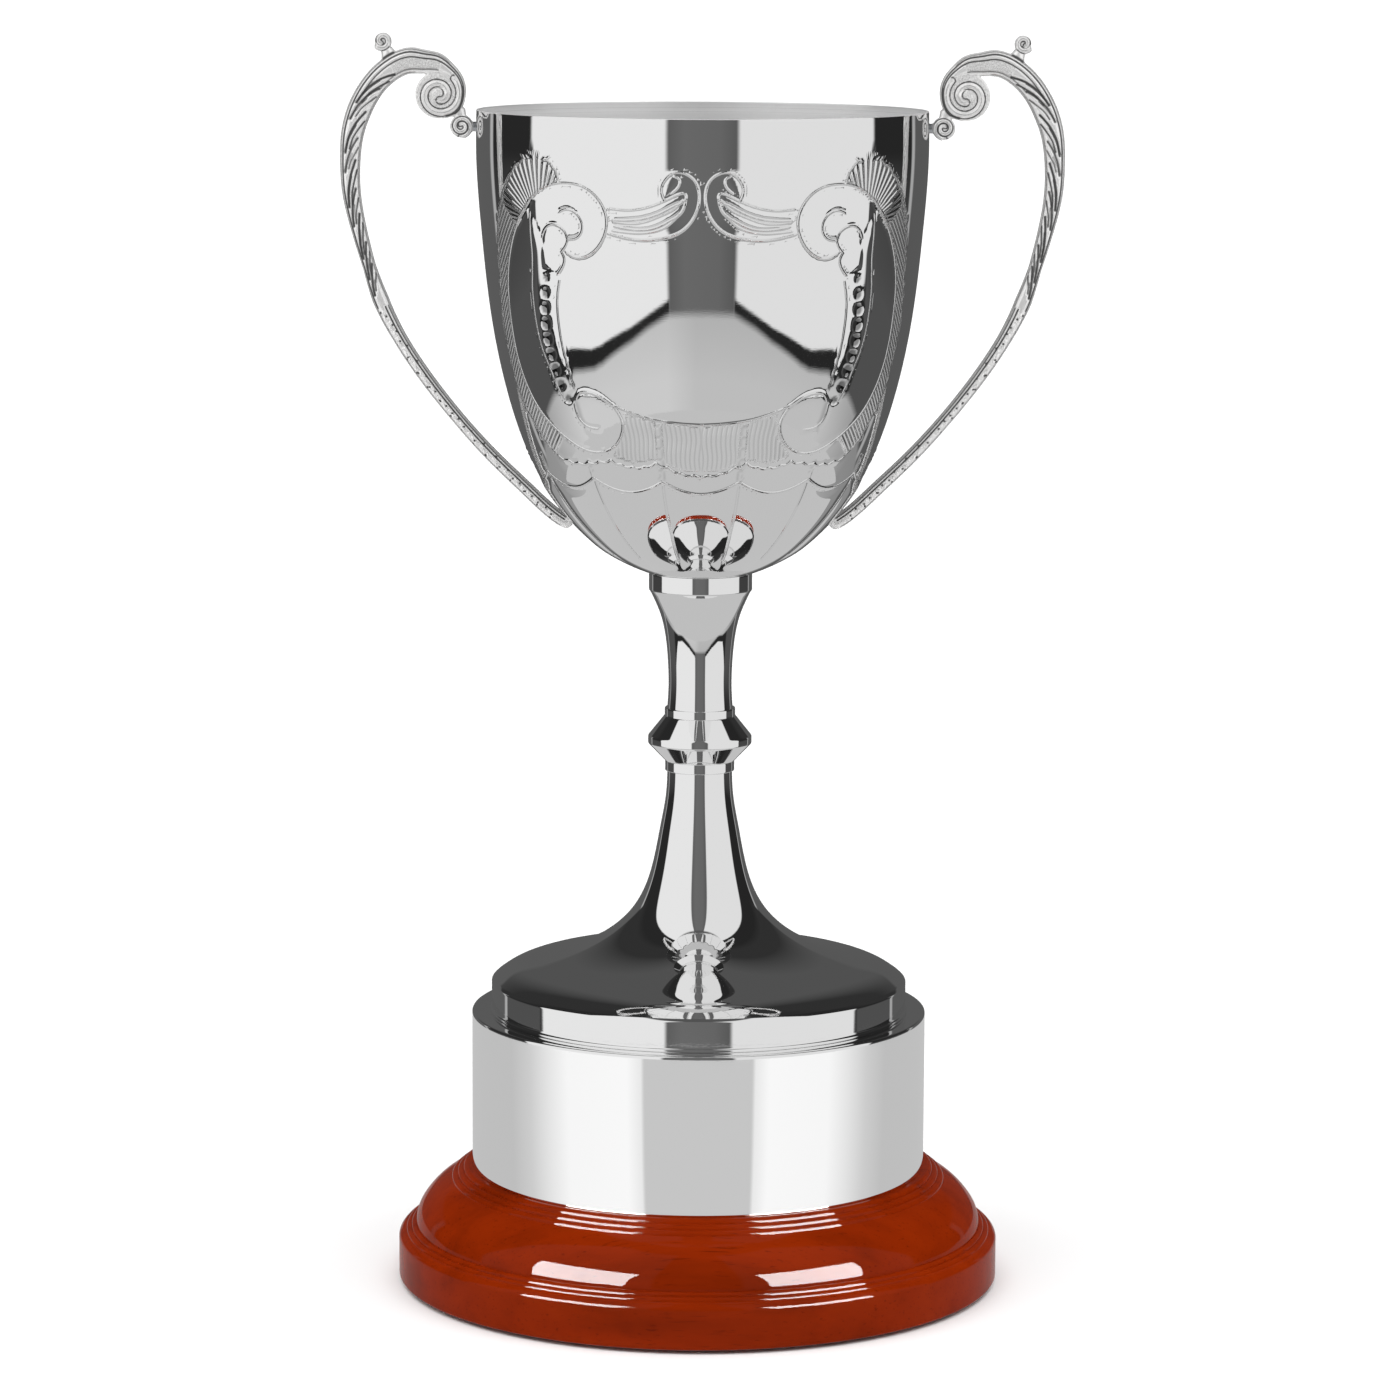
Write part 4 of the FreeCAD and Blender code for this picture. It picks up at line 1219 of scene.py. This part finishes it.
def mirrored_table():
    """The glowing table top and its glow, painted light met only in reflections, and reaching as far as the
    band mirrors it.
    """
    radius, forward, band_radius = 0.4375, 0.018, 0.0715
    top = flat_disc("table", radius, 0.0004, glowing_table_top(0.55))
    glow = flat_disc("table_glow", radius, 0.0007, table_glow(band_radius))
    glow.light_linking.receiver_collection = linked_to("lit_by_table", "plate_band")
    for one in (top, glow):
        one.location.y = -forward
        one.visible_camera = False
        one.visible_diffuse = False
        one.visible_shadow = False


def window_light(turn, power, lit):
    """A tall window, turned round the cup by degrees, that the base's lacquer mirrors."""
    window = bpy.data.lights.new("window", "AREA")
    window.shape = "RECTANGLE"
    window.size, window.size_y = 1.15, 0.95
    window.energy = power
    lamp = bpy.data.objects.new("window", window)
    tilted = Matrix.Translation((0, -1.5, 0.53)) @ Matrix.Rotation(math.radians(71), 4, "X")
    lamp.matrix_world = Matrix.Rotation(math.radians(turn), 4, "Z") @ tilted
    lamp.visible_diffuse = False
    lamp.visible_camera = False
    lamp.light_linking.receiver_collection = lit
    bpy.context.scene.collection.objects.link(lamp)


def skylight(power):
    """Soft light from overhead."""
    sun = bpy.data.lights.new("skylight", "SUN")
    sun.energy = power
    sun.angle = math.radians(110)
    lamp = bpy.data.objects.new("skylight", sun)
    lamp.visible_glossy = False
    bpy.context.scene.collection.objects.link(lamp)


def studio_camera(studio):
    """The camera, level with the bowl's rim and looking slightly down."""
    lens = bpy.data.cameras.new("camera")
    lens.lens = studio.lens
    camera = bpy.data.objects.new("camera", lens)
    turn = Matrix.Rotation(math.pi / 2 - studio.pitch, 4, "X") @ Matrix.Rotation(studio.roll, 4, "Z")
    camera.matrix_world = Matrix.Translation((0, -studio.away, studio.height)) @ turn
    bpy.context.scene.collection.objects.link(camera)
    return camera


# ---------------------------------------------------------------- settings

class CupSettings(bpy.types.PropertyGroup):
    """Sizes and colours of the cup."""

    relief: bpy.props.FloatProperty(
        name="Relief", description="Height of the bowl's chasing as a share of its full height",
        default=1.0, min=0.0, max=1.5, subtype="FACTOR")
    wall: bpy.props.FloatProperty(
        name="Wall", description="Thickness of the bowl's wall", default=0.001, min=0.0005, max=0.003,
        unit="LENGTH")
    grain: bpy.props.FloatProperty(
        name="Casting grain", description="Size of the skin's cells on the cast handles", default=0.00028,
        min=0.0002, max=0.001, unit="LENGTH")
    plate: bpy.props.FloatVectorProperty(
        name="Plate", description="Colour of the polished plate", default=(0.93, 0.93, 0.93),
        min=0.0, max=1.0, subtype="COLOR")
    casting: bpy.props.FloatVectorProperty(
        name="Casting", description="Colour of the cast handles", default=(0.93, 0.925, 0.92),
        min=0.0, max=1.0, subtype="COLOR")
    lacquer: bpy.props.FloatVectorProperty(
        name="Lacquered wood", description="Colour of the lacquered moulding", default=(0.212, 0.0165, 0.001),
        min=0.0, max=1.0, subtype="COLOR")
    wood: bpy.props.FloatVectorProperty(
        name="Bare wood", description="Colour of the wooden core", default=(0.42, 0.24, 0.12),
        min=0.0, max=1.0, subtype="COLOR")
    felt: bpy.props.FloatVectorProperty(
        name="Felt", description="Colour of the felt", default=(0.02, 0.022, 0.02), min=0.0, max=1.0,
        subtype="COLOR")
    zinc: bpy.props.FloatVectorProperty(
        name="Zinc", description="Colour of the fasteners", default=(0.6, 0.62, 0.64), min=0.0, max=1.0,
        subtype="COLOR")


class StudioSettings(bpy.types.PropertyGroup):
    """The camera and the light."""

    lens: bpy.props.FloatProperty(
        name="Lens", description="Focal length in millimetres", default=133.0, unit="CAMERA")
    away: bpy.props.FloatProperty(
        name="Distance", description="How far in front of the cup's axis the camera stands", default=1.609,
        unit="LENGTH")
    height: bpy.props.FloatProperty(
        name="Height", description="Height of the camera", default=0.433, unit="LENGTH")
    pitch: bpy.props.FloatProperty(
        name="Pitch", description="How far the camera looks down",
        default=math.radians(8.75), unit="ROTATION")
    roll: bpy.props.FloatProperty(
        name="Roll", description="How far the camera leans", default=math.radians(0.27), unit="ROTATION")
    sun: bpy.props.FloatProperty(
        name="Skylight", description="Strength of the soft light from above", default=3.3, min=0.0)
    windows: bpy.props.FloatProperty(
        name="Windows", description="Power of each window that the lacquer mirrors", default=500.0, min=0.0)


def material_for(name, make, tint):
    """The material of that name, made the first time it is asked for."""
    return bpy.data.materials.get(name) or make(tuple(tint))


# ---------------------------------------------------------------- operators

class CUP_OT_plinth(bpy.types.Operator):
    """Add the felt pad and the lacquered moulding"""

    bl_idname = "cup.plinth"
    bl_label = "Add Plinth"

    def execute(self, context):
        cup = context.scene.cup_settings
        felt = material_for("wool_felt", wool_felt, cup.felt)
        wood = material_for("gloss_mahogany", mahogany, cup.lacquer)
        finished(spun_shell(closed(outline_felt()), [(90, 40)]), "felt_disc", felt, ["felt_pad"], 40)
        finished(spun_shell(closed(outline_base()), [(90, 64)]), "moulded_base", wood, ["plinth_base"],
                 35)
        return {"FINISHED"}


class CUP_OT_turned_metal(bpy.types.Operator):
    """Add the plate band, foot, knop and upper stem"""

    bl_idname = "cup.turned_metal"
    bl_label = "Add Turned Metal"

    def execute(self, context):
        plate = material_for("mirror_plate", polished_plate, context.scene.cup_settings.plate)
        turned = [
            (outline_band, "plate_band", "plinth_band", 288),
            (outline_foot, "trumpet_foot", "foot", 256),
            (outline_knop, "double_cone_knop", "knop", 128),
            (outline_stem, "waisted_stem", "upper_stem", 128),
        ]
        for outline, name, node, steps in turned:
            shell = spun_shell(closed(outline()), [(90, steps // 4)])
            finished(shell, name, plate, [node], 35)
        return {"FINISHED"}


class CUP_OT_bowl(bpy.types.Operator):
    """Add the chased bowl"""

    bl_idname = "cup.bowl"
    bl_label = "Add Bowl"

    def execute(self, context):
        cup = context.scene.cup_settings
        chased = material_for("chased_plate", chased_plate, cup.plate)
        satin = material_for("satin_plate", satin_plate, cup.plate)
        chased_bowl(BowlWall(BOWL_CURVE, cup.wall / MM), cup.relief, [chased, satin])
        return {"FINISHED"}


class CUP_OT_handles(bpy.types.Operator):
    """Add the two scrolled handles"""

    bl_idname = "cup.handles"
    bl_label = "Add Handles"

    def execute(self, context):
        casting = material_for("scroll_casting", cast_plate, context.scene.cup_settings.casting)
        scrolled_handle("scrolled_handle_right", "handle_right", 1, casting)
        scrolled_handle("scrolled_handle_left", "handle_left", -1, casting)
        return {"FINISHED"}


class CUP_OT_hardware(bpy.types.Operator):
    """Finish the core and the fasteners that the frame already holds"""

    bl_idname = "cup.hardware"
    bl_label = "Finish Core and Fasteners"

    def execute(self, context):
        cup = context.scene.cup_settings
        zinc = material_for("zinc_hardware", zinc_hardware, cup.zinc)
        wood = material_for("turned_core", turned_wood, cup.wood)
        plain = ["band_pins", "plinth_screws", "handle_screws", "handle_washers", "tie_rod", "cap_washer",
                 "cap_nut", "base_washer", "lock_washer", "base_nut"]
        for node in plain + ["plinth_drum"]:
            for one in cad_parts[node].material_slots:
                one.material = wood if node == "plinth_drum" else zinc
        return {"FINISHED"}


class CUP_OT_stage(bpy.types.Operator):
    """Add the floor, the light and the camera"""

    bl_idname = "cup.stage"
    bl_label = "Add Stage"

    def execute(self, context):
        studio = context.scene.studio_settings
        context.scene.world = studio_world()
        context.scene.view_settings.view_transform = "Standard"
        floor = flat_disc("floor", 60.0, -0.0002, pale_floor())
        floor.visible_glossy = False
        mirrored_table()
        lit = linked_to("lit_by_windows", "moulded_base")
        for turn in (-48, 48):
            window_light(turn, studio.windows, lit)
        skylight(studio.sun)
        context.scene.camera = studio_camera(studio)
        return {"FINISHED"}


class CUP_PT_build(bpy.types.Panel):
    """The steps that build the cup, and its sizes and colours"""

    bl_idname = "CUP_PT_build"
    bl_label = "Presentation Cup"
    bl_space_type = "VIEW_3D"
    bl_region_type = "UI"
    bl_category = "Cup"

    def draw(self, context):
        layout = self.layout
        for operator in OPERATORS:
            layout.operator(operator.bl_idname)
        for settings in (context.scene.cup_settings, context.scene.studio_settings):
            for name in settings.__annotations__:
                layout.prop(settings, name)


OPERATORS = (CUP_OT_plinth, CUP_OT_turned_metal, CUP_OT_bowl, CUP_OT_handles, CUP_OT_hardware, CUP_OT_stage)
CLASSES = (CupSettings, StudioSettings, *OPERATORS, CUP_PT_build)


def register():
    """Registers the classes and hangs the settings on the scene."""
    for one in CLASSES:
        bpy.utils.register_class(one)
    bpy.types.Scene.cup_settings = bpy.props.PointerProperty(type=CupSettings)
    bpy.types.Scene.studio_settings = bpy.props.PointerProperty(type=StudioSettings)


def unregister():
    """Takes the settings and the classes away again."""
    del bpy.types.Scene.studio_settings
    del bpy.types.Scene.cup_settings
    for one in reversed(CLASSES):
        bpy.utils.unregister_class(one)


def main():
    """Builds the cup and its stage."""
    register()
    bpy.ops.cup.plinth()
    bpy.ops.cup.turned_metal()
    bpy.ops.cup.bowl()
    bpy.ops.cup.handles()
    bpy.ops.cup.hardware()
    bpy.ops.cup.stage()


if __name__ == "__main__":
    main()
